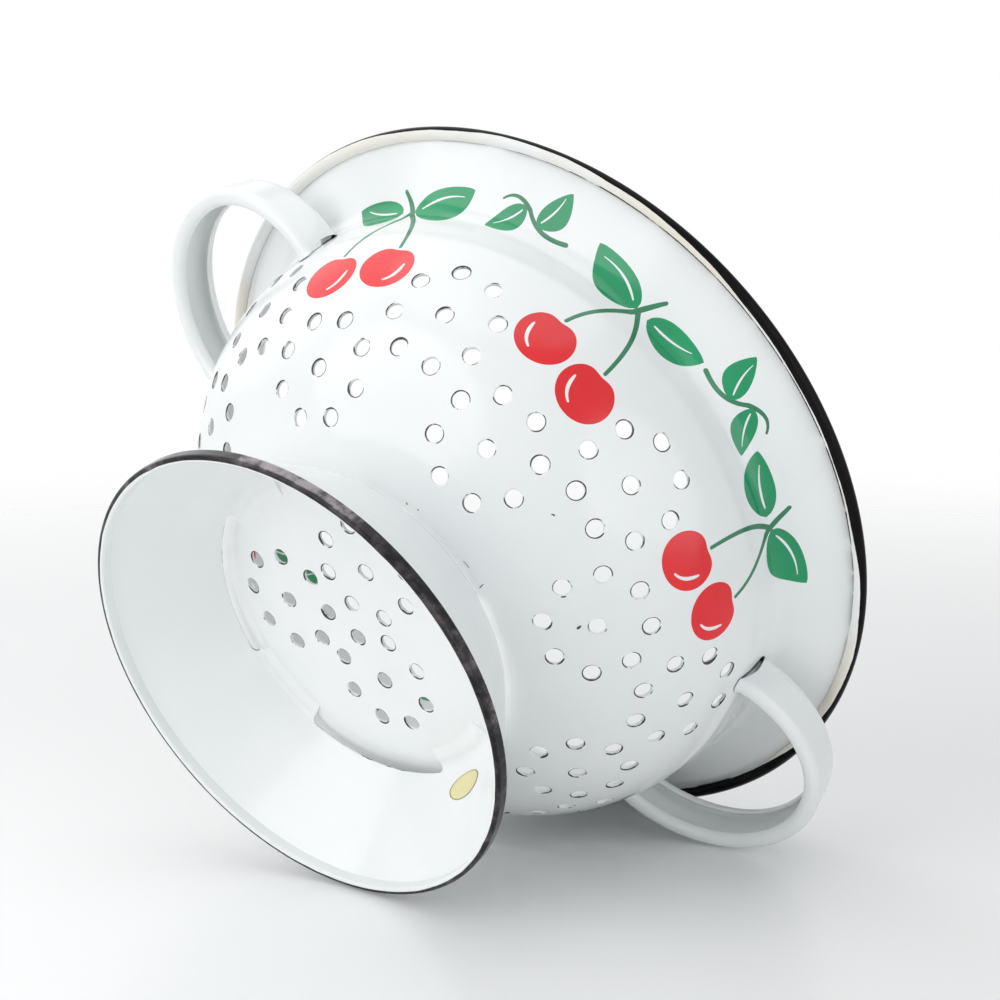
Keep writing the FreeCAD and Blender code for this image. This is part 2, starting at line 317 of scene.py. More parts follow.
# %% Shapes of the print
FRUIT_POINTS = 56
FRUIT_WIDER = 0.03
DENT = 0.16
DENT_SPREAD = 0.42
LEAF_POINTS = 25
LEAF_BELLY = 0.8
STROKE_POINTS = 26
STROKE_END_POINTS = 7


def apart(turns, degrees):
    """Angles from a place in degrees to turns, by the shorter way round."""
    return np.angle(np.exp(1j * (turns - math.radians(degrees))))


def bowed(start, bow, end, count):
    """Points on a curve between two points that bows towards a third."""
    t = np.linspace(0, 1, count)[:, None]
    return (1 - t) ** 2 * start + 2 * t * (1 - t) * bow + t ** 2 * end


def cherry(x, y, radius):
    """A round fruit with a dent where the stem goes in."""
    angles = steps_round(FRUIT_POINTS)
    dent = DENT * np.exp(-(apart(angles, 90) / DENT_SPREAD) ** 2)
    reach = radius * (1 + FRUIT_WIDER * np.cos(2 * angles) - dent)
    return np.array([x, y]) + reach[:, None] * toward(angles)


def leaf(x, y, length, width, degrees, curl):
    """A pointed leaf that grows from a point in a direction, and curls to one side."""
    along = toward(math.radians(degrees))
    t = np.linspace(0, 1, LEAF_POINTS)
    middle = curl * np.sin(math.pi * t)
    half = width / 2 * np.sin(math.pi * t ** LEAF_BELLY) ** LEAF_BELLY
    across = np.concatenate([middle + half, (middle - half)[-2:0:-1]])
    steps = np.concatenate([t, t[-2:0:-1]]) * length
    return np.array([x, y]) + np.outer(steps, along) + np.outer(across, left_of(along))


def stroke(start, bow, end, width, taper, lead=0.0):
    """A drawn line that bows, with round ends. It can be thinner at its end and at its start."""
    line = bowed(np.array(start), np.array(bow), np.array(end), STROKE_POINTS)
    way = unit(np.gradient(line, axis=0))
    side = left_of(way)
    t = np.linspace(0, 1, STROKE_POINTS)[:, None]
    half = width / 2 * (1 - taper * t) * (1 - lead * (1 - t) ** 4)
    swing = np.linspace(QUARTER, -QUARTER, STROKE_END_POINTS)[1:-1, None]
    end_cap = line[-1] + half[-1] * (np.cos(swing) * way[-1] + np.sin(swing) * side[-1])
    start_cap = line[0] - half[0] * (np.cos(swing) * way[0] + np.sin(swing) * side[0])
    return np.concatenate([line + side * half, end_cap, (line - side * half)[::-1], start_cap])


print("shapes: fruit, leaves and strokes")

# %% [markdown]
# A motif is a list of shapes, and a later shape lies over an earlier one. The white strokes are bare
# enamel: the shine on a cherry and the middle of a leaf. Chips in the glaze are small strokes too, of bare
# steel. A motif is given with its turn in degrees, its length s along the line, and whether it is mirrored.
# The sprigs keep between the flowers, so that no outline crosses a hole.

# %% Motifs and where they lie
WHITE, RED, GREEN, STEM, BARE = range(5)
JOINT = [2.0, 17.0]
SPRIG = [
    (STEM, stroke(JOINT, [-7.0, 8.0], [-9.6, -4.0], 1.7, 0.3)),
    (STEM, stroke(JOINT, [9.0, 8.0], [9.4, -8.6], 1.7, 0.3)),
    (STEM, stroke([0.6, 15.2], [3.0, 20.0], [6.4, 24.6], 2.2, 0.45, 0.3)),
    (RED, cherry(-10.0, -12.6, 8.8)),
    (RED, cherry(9.4, -17.2, 8.8)),
    (WHITE, stroke([-15.6, -11.0], [-15.4, -16.2], [-11.8, -18.0], 1.6, 0.6, 0.6)),
    (WHITE, stroke([3.8, -15.6], [4.0, -20.8], [7.6, -22.6], 1.6, 0.6, 0.6)),
    (GREEN, leaf(1.0, 17.6, 23.0, 12.0, 158.0, 2.0)),
    (GREEN, leaf(5.5, 17.0, 21.0, 11.0, 12.0, -2.0)),
    (WHITE, stroke([-1.6, 18.8], [-8.0, 23.6], [-16.6, 23.6], 1.2, 0.8, 0.6)),
    (WHITE, stroke([8.4, 17.4], [15.0, 17.0], [21.6, 20.2], 1.2, 0.8, 0.6)),
]
TWIG = [
    (STEM, stroke([-13.0, -3.6], [-3.0, -6.0], [2.0, 1.0], 1.5, 0.1)),
    (STEM, stroke([2.0, 1.0], [8.0, 6.0], [12.0, 2.0], 1.5, 0.5)),
    (GREEN, leaf(-2.0, -2.6, 15.0, 8.6, 118.0, 1.4)),
    (GREEN, leaf(3.4, 1.6, 14.0, 8.0, -42.0, -1.2)),
    (WHITE, stroke([-2.8, -1.0], [-6.4, 3.4], [-7.4, 8.4], 1.0, 0.8, 0.6)),
    (WHITE, stroke([4.6, 0.4], [7.0, -3.4], [11.6, -6.2], 1.0, 0.8, 0.6)),
]
SPRIG_S = 131.0
TWIG_S = 155.0
LOW_TWIG_S = 139.0
motifs = [
    (SPRIG, 42, SPRIG_S, 1), (TWIG, 64.5, TWIG_S, 1), (SPRIG, 87, SPRIG_S, -1),
    (TWIG, 109.5, TWIG_S, -1), (SPRIG, 132, SPRIG_S, 1), (TWIG, 222, TWIG_S, 1),
    (TWIG, 244.5, TWIG_S, 1), (SPRIG, 267, SPRIG_S, 1), (TWIG, 295.5, LOW_TWIG_S, -1),
    (SPRIG, 312, SPRIG_S, -1),
]
CHIPS = [
    (78.9, 54.8, 0.5, 0.1, 0.5), (82.9, 55.6, 0.2, 0.4, 0.45), (104.6, 55.0, 2.4, -0.3, 0.32),
    (112.6, 55.4, 0.5, 1.5, 0.42), (106.0, 84.7, 0.7, -0.5, 0.6), (131.1, 77.5, 0.5, 0.9, 1.1),
]
CHIP_BOW = [0.1, 0.2]
for degrees, s_chip, long, high, width in CHIPS:
    chip = stroke([-long / 2, -high / 2], CHIP_BOW, [long / 2, high / 2], width, 0.5, 0.3)
    motifs.append(([(BARE, chip)], degrees, s_chip, 1))
print(len(motifs), "motifs with", sum(len(motif[0]) for motif in motifs), "shapes")

# %% [markdown]
# Between a flat drawing and the bowl, heights become lengths along the line, and widths become turns.
# Whether a point lies in an outline is found by counting how often a ray from it crosses the outline.

# %% Between the drawing and the bowl
def to_motif(s, turn, degrees, s_middle, mirror):
    """Flat coordinates of points of the bowl, round the middle of a motif."""
    return -mirror * apart(turn, degrees) * line_at(s)[0], s - s_middle


def from_motif(outline, degrees, s_middle, mirror):
    """Where a flat outline of a motif falls on the bowl."""
    s = s_middle + outline[:, 1]
    turn = math.radians(degrees) - mirror * outline[:, 0] / line_at(s)[0]
    return s, turn


def lies_in(outline, x, y):
    """Whether points lie in an outline."""
    odd = np.zeros(np.shape(x), bool)
    for (ax, ay), (bx, by) in zip(outline, np.roll(outline, -1, axis=0)):
        crosses = (ay > y) != (by > y)
        cut = ax + (y - ay) * (bx - ax) / (by - ay + (by == ay))
        odd ^= crosses & (x < cut)
    return odd


print("the fruit holds its own middle:", lies_in(cherry(0, 0, 1), np.zeros(1), np.zeros(1))[0])

# %% [markdown]
# ## The perforated skin
# Triangulating a sheet with 171 holes by hand would be hopeless, so it is left to a constrained Delaunay
# triangulation. It wants points that lie evenly. Rings of points fill the bowl, closer where it bends,
# and those that would crowd a hole are left out.

# %% An even spread of points
GRID = 3.2
AROUND = 288
BAND_RINGS = 3
BEND_RINGS = 9
FLARE_RINGS = 7
HOLE_R = 2.5
HOLE_LIP = 0.36
HOLE_CLEAR = 1.2
s_rings = np.concatenate([
    np.linspace(0, S_UPRIGHT, round(S_UPRIGHT / GRID), endpoint=False),
    np.linspace(S_UPRIGHT, S_BAND, BAND_RINGS, endpoint=False),
    np.linspace(S_BAND, S_FLARE, BEND_RINGS, endpoint=False),
    np.linspace(S_FLARE, S_RIM, FLARE_RINGS),
])
ring_counts = [
    AROUND if s >= S_UPRIGHT else max(1, round(2 * math.pi * r / GRID))
    for s, r in zip(s_rings, line_at(s_rings)[0])
]
grid_s = np.repeat(s_rings, ring_counts)
grid_turn = np.concatenate([steps_round(count) for count in ring_counts])
grid_points = on_bowl(grid_s, grid_turn)
clear = np.ones(len(grid_s), bool)
for hole_middle in hole_ring(0, 0)[0][:, 0]:
    clear &= np.linalg.norm(grid_points - hole_middle, axis=1) > HOLE_R + HOLE_LIP + HOLE_CLEAR
grid_s = grid_s[clear]
grid_turn = grid_turn[clear]
print(len(grid_s), "points in", len(s_rings), "rings")

# %% [markdown]
# For the triangulation the bowl is unrolled to a flat disc, where the distance from the middle is the
# length along the bowl's line. The edges of the holes and the outlines of the print go in as closed loops.
# A second loop close round each hole keeps the worn edge narrow. Afterwards, the triangles whose three
# corners lie on the edge of one hole are taken out.

# %% Triangulate the skin
WEAR_RING = 0.24
SAME_POINT = 1e-4
lip_loops = zip(*hole_ring(HOLE_R + HOLE_LIP, 0)[1:])
wear_loops = zip(*hole_ring(HOLE_R + HOLE_LIP + WEAR_RING, 0)[1:])
loops = [*lip_loops, *wear_loops]
for shapes, *place in motifs:
    loops += [from_motif(outline, *place) for colour, outline in shapes]
loop_edges = []
start = len(grid_s)
for s, turn in loops:
    loop_edges += [(start + k, start + (k + 1) % len(s)) for k in range(len(s))]
    start += len(s)
flat_s = np.concatenate([grid_s] + [s for s, turn in loops])
flat_turn = np.concatenate([grid_turn] + [turn for s, turn in loops])
flat_points = [Vector(point) for point in flat_s[:, None] * toward(flat_turn)]
cut = delaunay_2d_cdt(flat_points, loop_edges, [], 0, SAME_POINT, True)
cut_points, cut_edges, cut_faces, cut_from = cut[:4]
skin_flat = np.array([tuple(point) for point in cut_points])
skin_faces = np.array(cut_faces)

skin_hole = np.full(len(skin_flat), -1)
hole_vertex = np.zeros((len(holes), HOLE_POINTS), int)
for vertex, origins in enumerate(cut_from):
    for origin in origins:
        hole, step = divmod(origin - len(grid_s), HOLE_POINTS)
        if 0 <= hole < len(holes):
            skin_hole[vertex] = hole
            hole_vertex[hole, step] = vertex
corner_hole = skin_hole[skin_faces]
in_hole = (corner_hole[:, 0] >= 0) & (corner_hole == corner_hole[:, :1]).all(axis=1)
skin_faces = skin_faces[~in_hole]
print(len(skin_flat), "points and", len(skin_faces), "triangles in one skin")

# %% [markdown]
# Every triangle now lies wholly inside or outside each outline of the print, so its middle decides its
# colour. The colour is kept as a number, which becomes the number of a material on the mesh.

# %% Colour the triangles
MOTIF_REACH = 40
middle_flat = skin_flat[skin_faces].mean(axis=1)
skin_colour = np.full(len(skin_faces), WHITE)
for shapes, *place in motifs:
    x, y = to_motif(radius_of(middle_flat), turn_of(middle_flat), *place)
    near = np.where(np.hypot(x, y) < MOTIF_REACH)[0]
    for colour, outline in shapes:
        skin_colour[near[lies_in(outline, x[near], y[near])]] = colour
print("triangles of white, red, green, stem and bare:", np.bincount(skin_colour))

# %% [markdown]
# ## From numbers to meshes
# All pieces go through one helper. It shades the mesh smoothly, keeps named values for the materials on
# the vertices, and lets the piece ride on the part's only body. Millimetres become metres here. The other
# helpers make the faces of a grid, turn faces to the side that their normals look to, and drop corners
# that fall on each other, because faces without area shade badly.

# %% Helpers for meshes
MM = 0.001
SAME_PLACE = 0.001


def grid_faces(rows, columns, closed_rows=False, closed_columns=False):
    """Quads between rows of vertices that all have the same number of columns."""
    row = np.arange(rows if closed_rows else rows - 1)[:, None]
    column = np.arange(columns if closed_columns else columns - 1)
    near = row * columns
    far = (row + 1) % rows * columns
    after = (column + 1) % columns
    return np.stack([near + column, near + after, far + after, far + column], -1).reshape(-1, 4)


def facing_out(vertices, faces, normals):
    """Faces with their corners in the order that makes them look along the normals."""
    faces = np.array(faces)
    corner = vertices[faces]
    square = np.cross(corner[:, 2] - corner[:, 0], corner[:, -1] - corner[:, 1])
    wrong = (square * normals[faces].sum(axis=1)).sum(axis=1) < 0
    faces[wrong] = faces[wrong][:, ::-1]
    return faces


def without_flat(vertices, faces):
    """Faces without corners that fall on the one before, and without those that lose their area."""
    corner = vertices[faces]
    kept = np.linalg.norm(corner - np.roll(corner, 1, axis=1), axis=2) > SAME_PLACE
    return [face[corners] for face, corners in zip(faces, kept) if corners.sum() > 2]


def add_piece(name, vertices, faces, slot, materials, normals=None, face_materials=None, **values):
    """A mesh object of the part."""
    mesh = bpy.data.meshes.new(name)
    mesh.from_pydata((vertices * MM).tolist(), [], [list(map(int, face)) for face in faces])
    for material in materials:
        mesh.materials.append(material)
    if face_materials is not None:
        mesh.polygons.foreach_set("material_index", np.array(face_materials, np.int32))
    for key, value in values.items():
        attribute = mesh.attributes.new(key, "FLOAT", "POINT")
        attribute.data.foreach_set("value", np.array(value, np.float32))
    mesh.shade_smooth()
    if normals is not None:
        mesh.normals_split_custom_set_from_vertices(normals.tolist())
    piece = bpy.data.objects.new(name, mesh)
    bpy.context.scene.collection.objects.link(piece)
    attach(piece, "root")
    print(name, "has", len(mesh.vertices), "vertices and", len(mesh.polygons), "faces")
    return piece


print("a grid of 3 by 4 vertices has", len(grid_faces(3, 4)), "faces")

# %% [markdown]
# ## Nodes in a few words
# A material is a tree of nodes. Written out, each node takes several lines, so short helpers make the
# common ones: sums, smooth steps, noise, mixed colours and values that are kept on the mesh.

# %% Helpers for nodes
def set_inputs(tree, node, inputs):
    """Sets a node's inputs, by name or by number. An input is a value or another node's output."""
    for key, value in inputs.items():
        if isinstance(value, bpy.types.NodeSocket):
            tree.links.new(value, node.inputs[key])
        else:
            node.inputs[key].default_value = value


def add_node(tree, kind, inputs, **settings):
    """A node with its settings and its inputs set."""
    node = tree.nodes.new(kind)
    for key, value in settings.items():
        setattr(node, key, value)
    set_inputs(tree, node, inputs)
    return node


def math_node(tree, operation, *values):
    """The output of a Math node."""
    return add_node(tree, "ShaderNodeMath", dict(enumerate(values)), operation=operation).outputs[0]


def ramp(tree, value, low, high, start=0.0, end=1.0):
    """A smooth step from start to end, while a value goes from low to high."""
    inputs = dict(enumerate((value, low, high, start, end)))
    return add_node(tree, "ShaderNodeMapRange", inputs, interpolation_type="SMOOTHSTEP").outputs[0]


def noise(tree, place, scale, detail, roughness=0.5):
    """The value of a noise."""
    inputs = {"Vector": place, "Scale": scale, "Detail": detail, "Roughness": roughness}
    return add_node(tree, "ShaderNodeTexNoise", inputs).outputs[0]


def bump(tree, height, strength, distance):
    """The normal of a surface that rises and falls by a height."""
    inputs = {"Strength": strength, "Distance": distance, "Height": height}
    return add_node(tree, "ShaderNodeBump", inputs).outputs[0]


def mix(tree, factor, first, second):
    """The colour between two colours."""
    inputs = {0: factor, 6: first, 7: second}
    return add_node(tree, "ShaderNodeMix", inputs, data_type="RGBA").outputs[2]


def attribute(tree, name):
    """A named value of the mesh."""
    return add_node(tree, "ShaderNodeAttribute", {}, attribute_name=name).outputs["Fac"]


print("node helpers: sums, steps, noise, bumps, colours and values of the mesh")

# %% [markdown]
# ## Shared effects of the glaze
# Enamel is glass, melted on steel. It is very smooth, but not as flat as a mirror: the surface has the
# faint waves of something that once ran, and the white is not the same everywhere. All enamels need this,
# so it is a node group, built once. A second group breaks up an edge, as wear does: it adds noise to a
# value that rises towards the edge, and cuts the sum off sharply.
# The groups give only values and normals, and the shaders stay in the materials.

# %% Node groups
FLOAT = "NodeSocketFloat"
VECTOR = "NodeSocketVector"
GLOSS = (0.13, 0.21)
WAVE_HEIGHT = 0.0002


def new_group(name, inputs, outputs):
    """An empty node group with named sockets, the outputs of its start and its end node."""
    group = bpy.data.node_groups.new(name, "ShaderNodeTree")
    for socket, kind in inputs:
        group.interface.new_socket(socket, in_out="INPUT", socket_type=kind)
    for socket, kind in outputs:
        group.interface.new_socket(socket, in_out="OUTPUT", socket_type=kind)
    return group, group.nodes.new("NodeGroupInput").outputs, group.nodes.new("NodeGroupOutput")


glaze, glaze_in, glaze_end = new_group(
    "glaze", [("Vector", VECTOR)], [("Tint", FLOAT), ("Roughness", FLOAT), ("Normal", VECTOR)],
)
glaze_place = glaze_in["Vector"]
set_inputs(glaze, glaze_end, {
    "Tint": ramp(glaze, noise(glaze, glaze_place, scale=22.0, detail=3.0), 0.35, 0.7),
    "Roughness": ramp(glaze, noise(glaze, glaze_place, scale=70.0, detail=4.0), 0.4, 0.7, *GLOSS),
    "Normal": bump(glaze, noise(glaze, glaze_place, scale=260.0, detail=2.0), 0.16, WAVE_HEIGHT),
})

# The same group also breaks up the painted shade in the handles' slits and in the rim's crevice.
worn, worn_in, worn_end = new_group(
    "worn edge",
    [("Vector", VECTOR), ("Edge", FLOAT), ("Scale", FLOAT), ("Amount", FLOAT)],
    [("Mask", FLOAT)],
)
crumbs = noise(worn, worn_in["Vector"], scale=worn_in["Scale"], detail=5.0)
pushed = math_node(worn, "ADD", worn_in["Edge"], math_node(worn, "MULTIPLY", crumbs, worn_in["Amount"]))
set_inputs(worn, worn_end, {"Mask": ramp(worn, pushed, 0.97, 1.03)})
print("groups:", glaze.name, "and", worn.name)

# %% [markdown]
# ## Enamel
# White enamel carries everything. The red and the greens of the print are thin enamel too, fired on the
# white, so they share its gloss. Round the drain holes the glaze pulls back from the sharp edge when it
# melts, and dark steel shows through in broken lines. The meshes keep a value called lip on the walls of
# the holes, and the worn edge group breaks it up. On the handles the same value paints shade, in the
# colour of bare steel, into the slits at the ends of the straps.

# %% Enamel materials
GLASS_IOR = 1.5
LIP_CRUMBS = 190.0
LIP_WEAR = 1.15
WHITE_LIGHT = (0.895, 0.915, 0.915, 1)
WHITE_DEEP = (0.86, 0.885, 0.89, 1)
# Bare steel at chips and worn hole edges; in the handles' slits the same colour is painted shade.
BARE_STEEL_AND_SHADE = (0.035, 0.034, 0.034, 1)


def new_material(name):
    """A material with its tree, its Principled shader and the object's coordinates."""
    material = bpy.data.materials.new(name)
    material.use_nodes = True
    tree = material.node_tree
    place = add_node(tree, "ShaderNodeTexCoord", {}).outputs["Object"]
    return material, tree, tree.nodes["Principled BSDF"], place


def use_glaze(tree, shader, place):
    """Links the glaze group to the shader and returns the group's tint."""
    glazed = add_node(tree, "ShaderNodeGroup", {"Vector": place}, node_tree=glaze).outputs
    set_inputs(tree, shader, {"Roughness": glazed["Roughness"], "Normal": glazed["Normal"]})
    return glazed["Tint"]


def use_worn(tree, place, edge, scale, amount):
    """A mask of worn spots along an edge value."""
    inputs = {"Vector": place, "Edge": edge, "Scale": scale, "Amount": amount}
    return add_node(tree, "ShaderNodeGroup", inputs, node_tree=worn).outputs["Mask"]


def enamel(name, light, deep):
    """A glossy enamel between two near colours, worn through at the edges of holes and painted dark as shade
    where the handles set the value lip.
    """
    material, tree, shader, place = new_material(name)
    glass = mix(tree, use_glaze(tree, shader, place), light, deep)
    bare = use_worn(tree, place, attribute(tree, "lip"), LIP_CRUMBS, LIP_WEAR)
    set_inputs(tree, shader, {"Base Color": mix(tree, bare, glass, BARE_STEEL_AND_SHADE), "IOR": GLASS_IOR})
    return material


white = enamel("white_enamel", WHITE_LIGHT, WHITE_DEEP)
red = enamel("red_enamel", (0.86, 0.012, 0.02, 1), (0.74, 0.01, 0.016, 1))
green = enamel("green_enamel", (0.006, 0.34, 0.135, 1), (0.004, 0.28, 0.11, 1))
stem_green = enamel("stem_enamel", (0.04, 0.25, 0.13, 1), (0.03, 0.2, 0.1, 1))
bare_steel = enamel("bare_steel", BARE_STEEL_AND_SHADE, (0.10, 0.06, 0.04, 1))
print("enamels:", white.name, red.name, green.name, stem_green.name, bare_steel.name)

# %% [markdown]
# ## The bowl
# The bowl's mesh joins the outside, the inside and the walls of the holes. A wall has a rounded lip at
# both ends, because enamel never keeps a sharp edge. Bevelling 171 holes would be slow and could tear, so
# the rings go from the skin round the lip, straight through, and round the other lip. Each ring has a
# radius, a depth, the angle by which its normal has turned into the hole, and its value of lip.

# %% Vertices of the bowl
SKIN_LIP = 0.46
LIP_SHARE = 0.29
HOLE_RINGS = [
    (HOLE_R + LIP_SHARE * HOLE_LIP, LIP_SHARE * HOLE_LIP, 45, 0.46),
    (HOLE_R, HOLE_LIP, 90, 0.3),
    (HOLE_R, SHEET - HOLE_LIP, 90, 0.15),
    (HOLE_R + LIP_SHARE * HOLE_LIP, SHEET - LIP_SHARE * HOLE_LIP, 135, 0.36),
]
skin_s = radius_of(skin_flat)
skin_turn = turn_of(skin_flat)
outer = on_bowl(skin_s, skin_turn)
outer_normal = facing(skin_s, skin_turn)
per_skin = len(outer)
bowl_vertices = [outer, outer - outer_normal * SHEET]
bowl_normals = [outer_normal, -outer_normal]
bowl_lip = [np.where(skin_hole >= 0, SKIN_LIP, 0), np.zeros(per_skin)]
ring_vertices = [hole_vertex]
for radius, depth, degrees, lip in HOLE_RINGS:
    points, s, turn = hole_ring(radius, depth)
    angle = math.radians(degrees)
    normal = facing(s, turn) * math.cos(angle) - hole_out * math.sin(angle)
    start = sum(len(part) for part in bowl_vertices)
    ring_vertices.append(start + np.arange(hole_vertex.size).reshape(hole_vertex.shape))
    bowl_vertices.append(points.reshape(-1, 3))
    bowl_normals.append(normal.reshape(-1, 3))
    bowl_lip.append(np.full(hole_vertex.size, lip))
ring_vertices.append(hole_vertex + per_skin)
bowl_vertices = np.concatenate(bowl_vertices)
bowl_normals = unit(np.concatenate(bowl_normals))
print(per_skin, "vertices in each skin and", len(bowl_vertices) - 2 * per_skin, "in the walls")

# %% [markdown]
# The print lies on both skins, as red and green show through the holes. Chips are on the outside only.

# %% Make the bowl
wall_faces = []
for near, far in zip(ring_vertices, ring_vertices[1:]):
    quads = np.stack([near, np.roll(near, -1, 1), np.roll(far, -1, 1), far], -1)
    wall_faces.append(quads.reshape(-1, 4))
wall_faces = facing_out(bowl_vertices, np.concatenate(wall_faces), bowl_normals)
outer_faces = facing_out(bowl_vertices, skin_faces, bowl_normals)
inner_faces = outer_faces[:, ::-1] + per_skin
inner_colour = np.where(skin_colour == BARE, WHITE, skin_colour)
bowl = add_piece(
    "bowl_shell", bowl_vertices, [*outer_faces, *inner_faces, *wall_faces], "enamel",
    [white, red, green, stem_green, bare_steel], bowl_normals,
    np.concatenate([skin_colour, inner_colour, np.full(len(wall_faces), WHITE)]),
    lip=np.concatenate(bowl_lip),
)
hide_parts("bowl")

# %% [markdown]
# ## Black edges
# The rolled rim and the foot's hem are dipped in black enamel. The black stops in a broken line, where a
# value of the mesh called cover falls to zero, and the ground below shows. It isn't one black: brownish
# streaks run through it, and where a value called wear is high, the table has scuffed it thin.

# %% Black enamel
BLACK = (0.006, 0.006, 0.007, 1)
BROWN_BLACK = (0.011, 0.008, 0.009, 1)
RIM_THIN = (0.02, 0.018, 0.02, 1)
CREAM = (0.86, 0.81, 0.73, 1)
HEM_BROWN = (0.11, 0.09, 0.096, 1)
HEM_THIN = (0.36, 0.325, 0.345, 1)
RIM_SHINE = 0.06
HEM_SHINE = 0.25
SCUFFING = 0.34
EDGE_CRUMBS = 150.0
EDGE_WEAR = 0.34


def black_edge(name, brown, thin, under, shine):
    """Black enamel with brown streaks and thin scuffs, over a ground coat."""
    material, tree, shader, place = new_material(name)
    tint = use_glaze(tree, shader, place)
    streaks = noise(tree, place, scale=120.0, detail=6.0, roughness=0.65)
    dark = mix(tree, ramp(tree, streaks, 0.42, 0.72), BLACK, brown)
    scuffed = math_node(tree, "MULTIPLY", attribute(tree, "wear"), SCUFFING)
    scuffs = math_node(tree, "ADD", scuffed, streaks)
    dark = mix(tree, ramp(tree, scuffs, 0.62, 0.86), dark, thin)
    edge = math_node(tree, "SUBTRACT", 1.0, attribute(tree, "cover"))
    bare = use_worn(tree, place, edge, EDGE_CRUMBS, EDGE_WEAR)
    colour = mix(tree, bare, dark, mix(tree, tint, under, WHITE_LIGHT))
    set_inputs(tree, shader, {"Base Color": colour, "IOR": GLASS_IOR, "Specular IOR Level": shine})
    return material


rim_black = black_edge("rim_black", BROWN_BLACK, RIM_THIN, CREAM, RIM_SHINE)
hem_black = black_edge("hem_black", HEM_BROWN, HEM_THIN, WHITE_DEEP, HEM_SHINE)
print("black enamels:", rim_black.name, hem_black.name)

# %% [markdown]
# The rim is the sheet's own edge, rolled outwards into a bead. Blender's Screw modifier could turn its
# profile round the axis. A small lathe of its own does the same and also tells the turn of each vertex,
# which the wavy edge of the black needs. The profile goes round the inside of the roll, over the sheet's
# cut edge and back round the outside.

# %% The rolled rim
ROLL_END = 284.0
CORE_POINTS = 24
CAP_POINTS = 7
ROLL_POINTS = 40


def arc(middle, radius, first, last, count):
    """Points on an arc, in degrees from the first axis towards the second."""
    return middle + radius * toward(np.radians(np.linspace(first, last, count)))


def lathe(profile):
    """Vertices, faces and turns of a profile of radius and height, turned round the axis."""
    turns = np.repeat(steps_round(AROUND), len(profile))
    r, z = np.tile(profile, (AROUND, 1)).T
    return around(r, z, turns), grid_faces(AROUND, len(profile), closed_rows=True), turns


flare_degrees = math.degrees(FLARE_RISE) + 90
end_degrees = flare_degrees - ROLL_END
end_middle = arc(BEAD_MID, BEAD_R - SHEET / 2, end_degrees, end_degrees, 1)[0]
rim_profile = np.concatenate([
    arc(BEAD_MID, BEAD_R - SHEET, flare_degrees, end_degrees, CORE_POINTS),
    arc(end_middle, SHEET / 2, end_degrees + 180, end_degrees + 360, CAP_POINTS + 2)[1:-1],
    arc(BEAD_MID, BEAD_R, end_degrees, flare_degrees, ROLL_POINTS),
])
rim_vertices, rim_faces, rim_turns = lathe(rim_profile)
rim_side = np.concatenate([-np.ones(CORE_POINTS), np.ones(CAP_POINTS + ROLL_POINTS)])
rim_normals = np.tile(rim_side, AROUND)[:, None] * (rim_vertices - around(*BEAD_MID, rim_turns))
rim_faces = facing_out(rim_vertices, rim_faces, rim_normals)
print("the rim is rolled by", ROLL_END, "degrees")

# %% [markdown]
# The black covers the outer part of the roll, and a band of cream ground coat follows. It was dipped by
# hand, so its edge waves and lies lower on one side. The inside of the roll is black all over, as painted
# shade for the dark gap behind the roll. At one place the whole roll is black, as painted shade where it
# lies in deep shadow, and at two others the black is thin. Each place has a turn, a spread and how much
# further round the roll the black goes, in degrees. At one side the crevice behind the roll gets speckled
# black: painted shade.

# %% Black on the rim
ROLL_BLACK = 148.0
BLACK_FADE = 40
ROLL_UNEVEN = 52.0
UNEVEN_TURN = math.radians(130)
RIM_WAVES = [(3, 7, 1.0), (11, 4, 0), (29, 2.5, 2.0)]
BLACK_AND_SHADE_PLACES = [(205, 26, 110), (71, 20, -24), (150, 15, -34)]
CREVICE = 52.0
CREVICE_TURN = math.radians(102)
CREVICE_RISE = 3
CREVICE_FROM = 1.6
CREVICE_SHADE_COVER = 0.2
PAST_ROLL = ROLL_END + 1


def ripple(turns, waves):
    """A sum of sines round the axis. Each wave has a count in a turn, a height and a phase."""
    return sum(height * np.sin(count * turns + phase) for count, height, phase in waves)


# The inside of the roll stays at zero, so it is black all over: painted shade for the gap behind the roll.
rolled = np.tile(np.concatenate([
    np.zeros(CORE_POINTS), np.full(CAP_POINTS, ROLL_END), np.linspace(ROLL_END, 0, ROLL_POINTS),
]), AROUND)
black_and_shade_to = ROLL_BLACK + ROLL_UNEVEN * np.cos(rim_turns - UNEVEN_TURN) + ripple(rim_turns, RIM_WAVES)
# The first place makes the whole roll black there: painted shade, where it lies in deep shadow.
for degrees, spread, more in BLACK_AND_SHADE_PLACES:
    black_and_shade_to = black_and_shade_to + more * np.exp(-((np.degrees(rim_turns) - degrees) / spread) ** 4)
rim_cover_and_shade = np.clip(0.5 + (black_and_shade_to - rolled) / BLACK_FADE, 0, 1)
# Painted shade: on one side the crevice behind the roll gets speckled black.
shaded_crevice = np.clip(CREVICE_RISE * np.cos(rim_turns - CREVICE_TURN) - CREVICE_FROM, 0, 1)
rim_cover_and_shade = np.where(rolled > PAST_ROLL - CREVICE * shaded_crevice, CREVICE_SHADE_COVER, rim_cover_and_shade)
add_piece(
    "rim_bead", rim_vertices, rim_faces, "trim", [rim_black],
    cover=rim_cover_and_shade, wear=np.zeros(len(rim_vertices)),
)

# %% [markdown]
# ## The foot
# The foot is a flared ring of sheet. Its wall turns in under the bowl to a seat, where four tabs are welded
# on, and between the tabs four long slots let the water out. Its section comes first: a straight wall, a
# bend that just touches the bowl's round bottom, and a seat that follows the bottom and thins out.

# %% The foot's section
FOOT_R = 75.5
NECK_R = 54.75
HEM_HEIGHT = 4.0
NECK_BEND = 4.5
SLOT_GAP = 3.2
SEAT_LAP = 5.0
SEAT_GAP = 0.03
SEAT_STEPS = 12
STEPS = 30

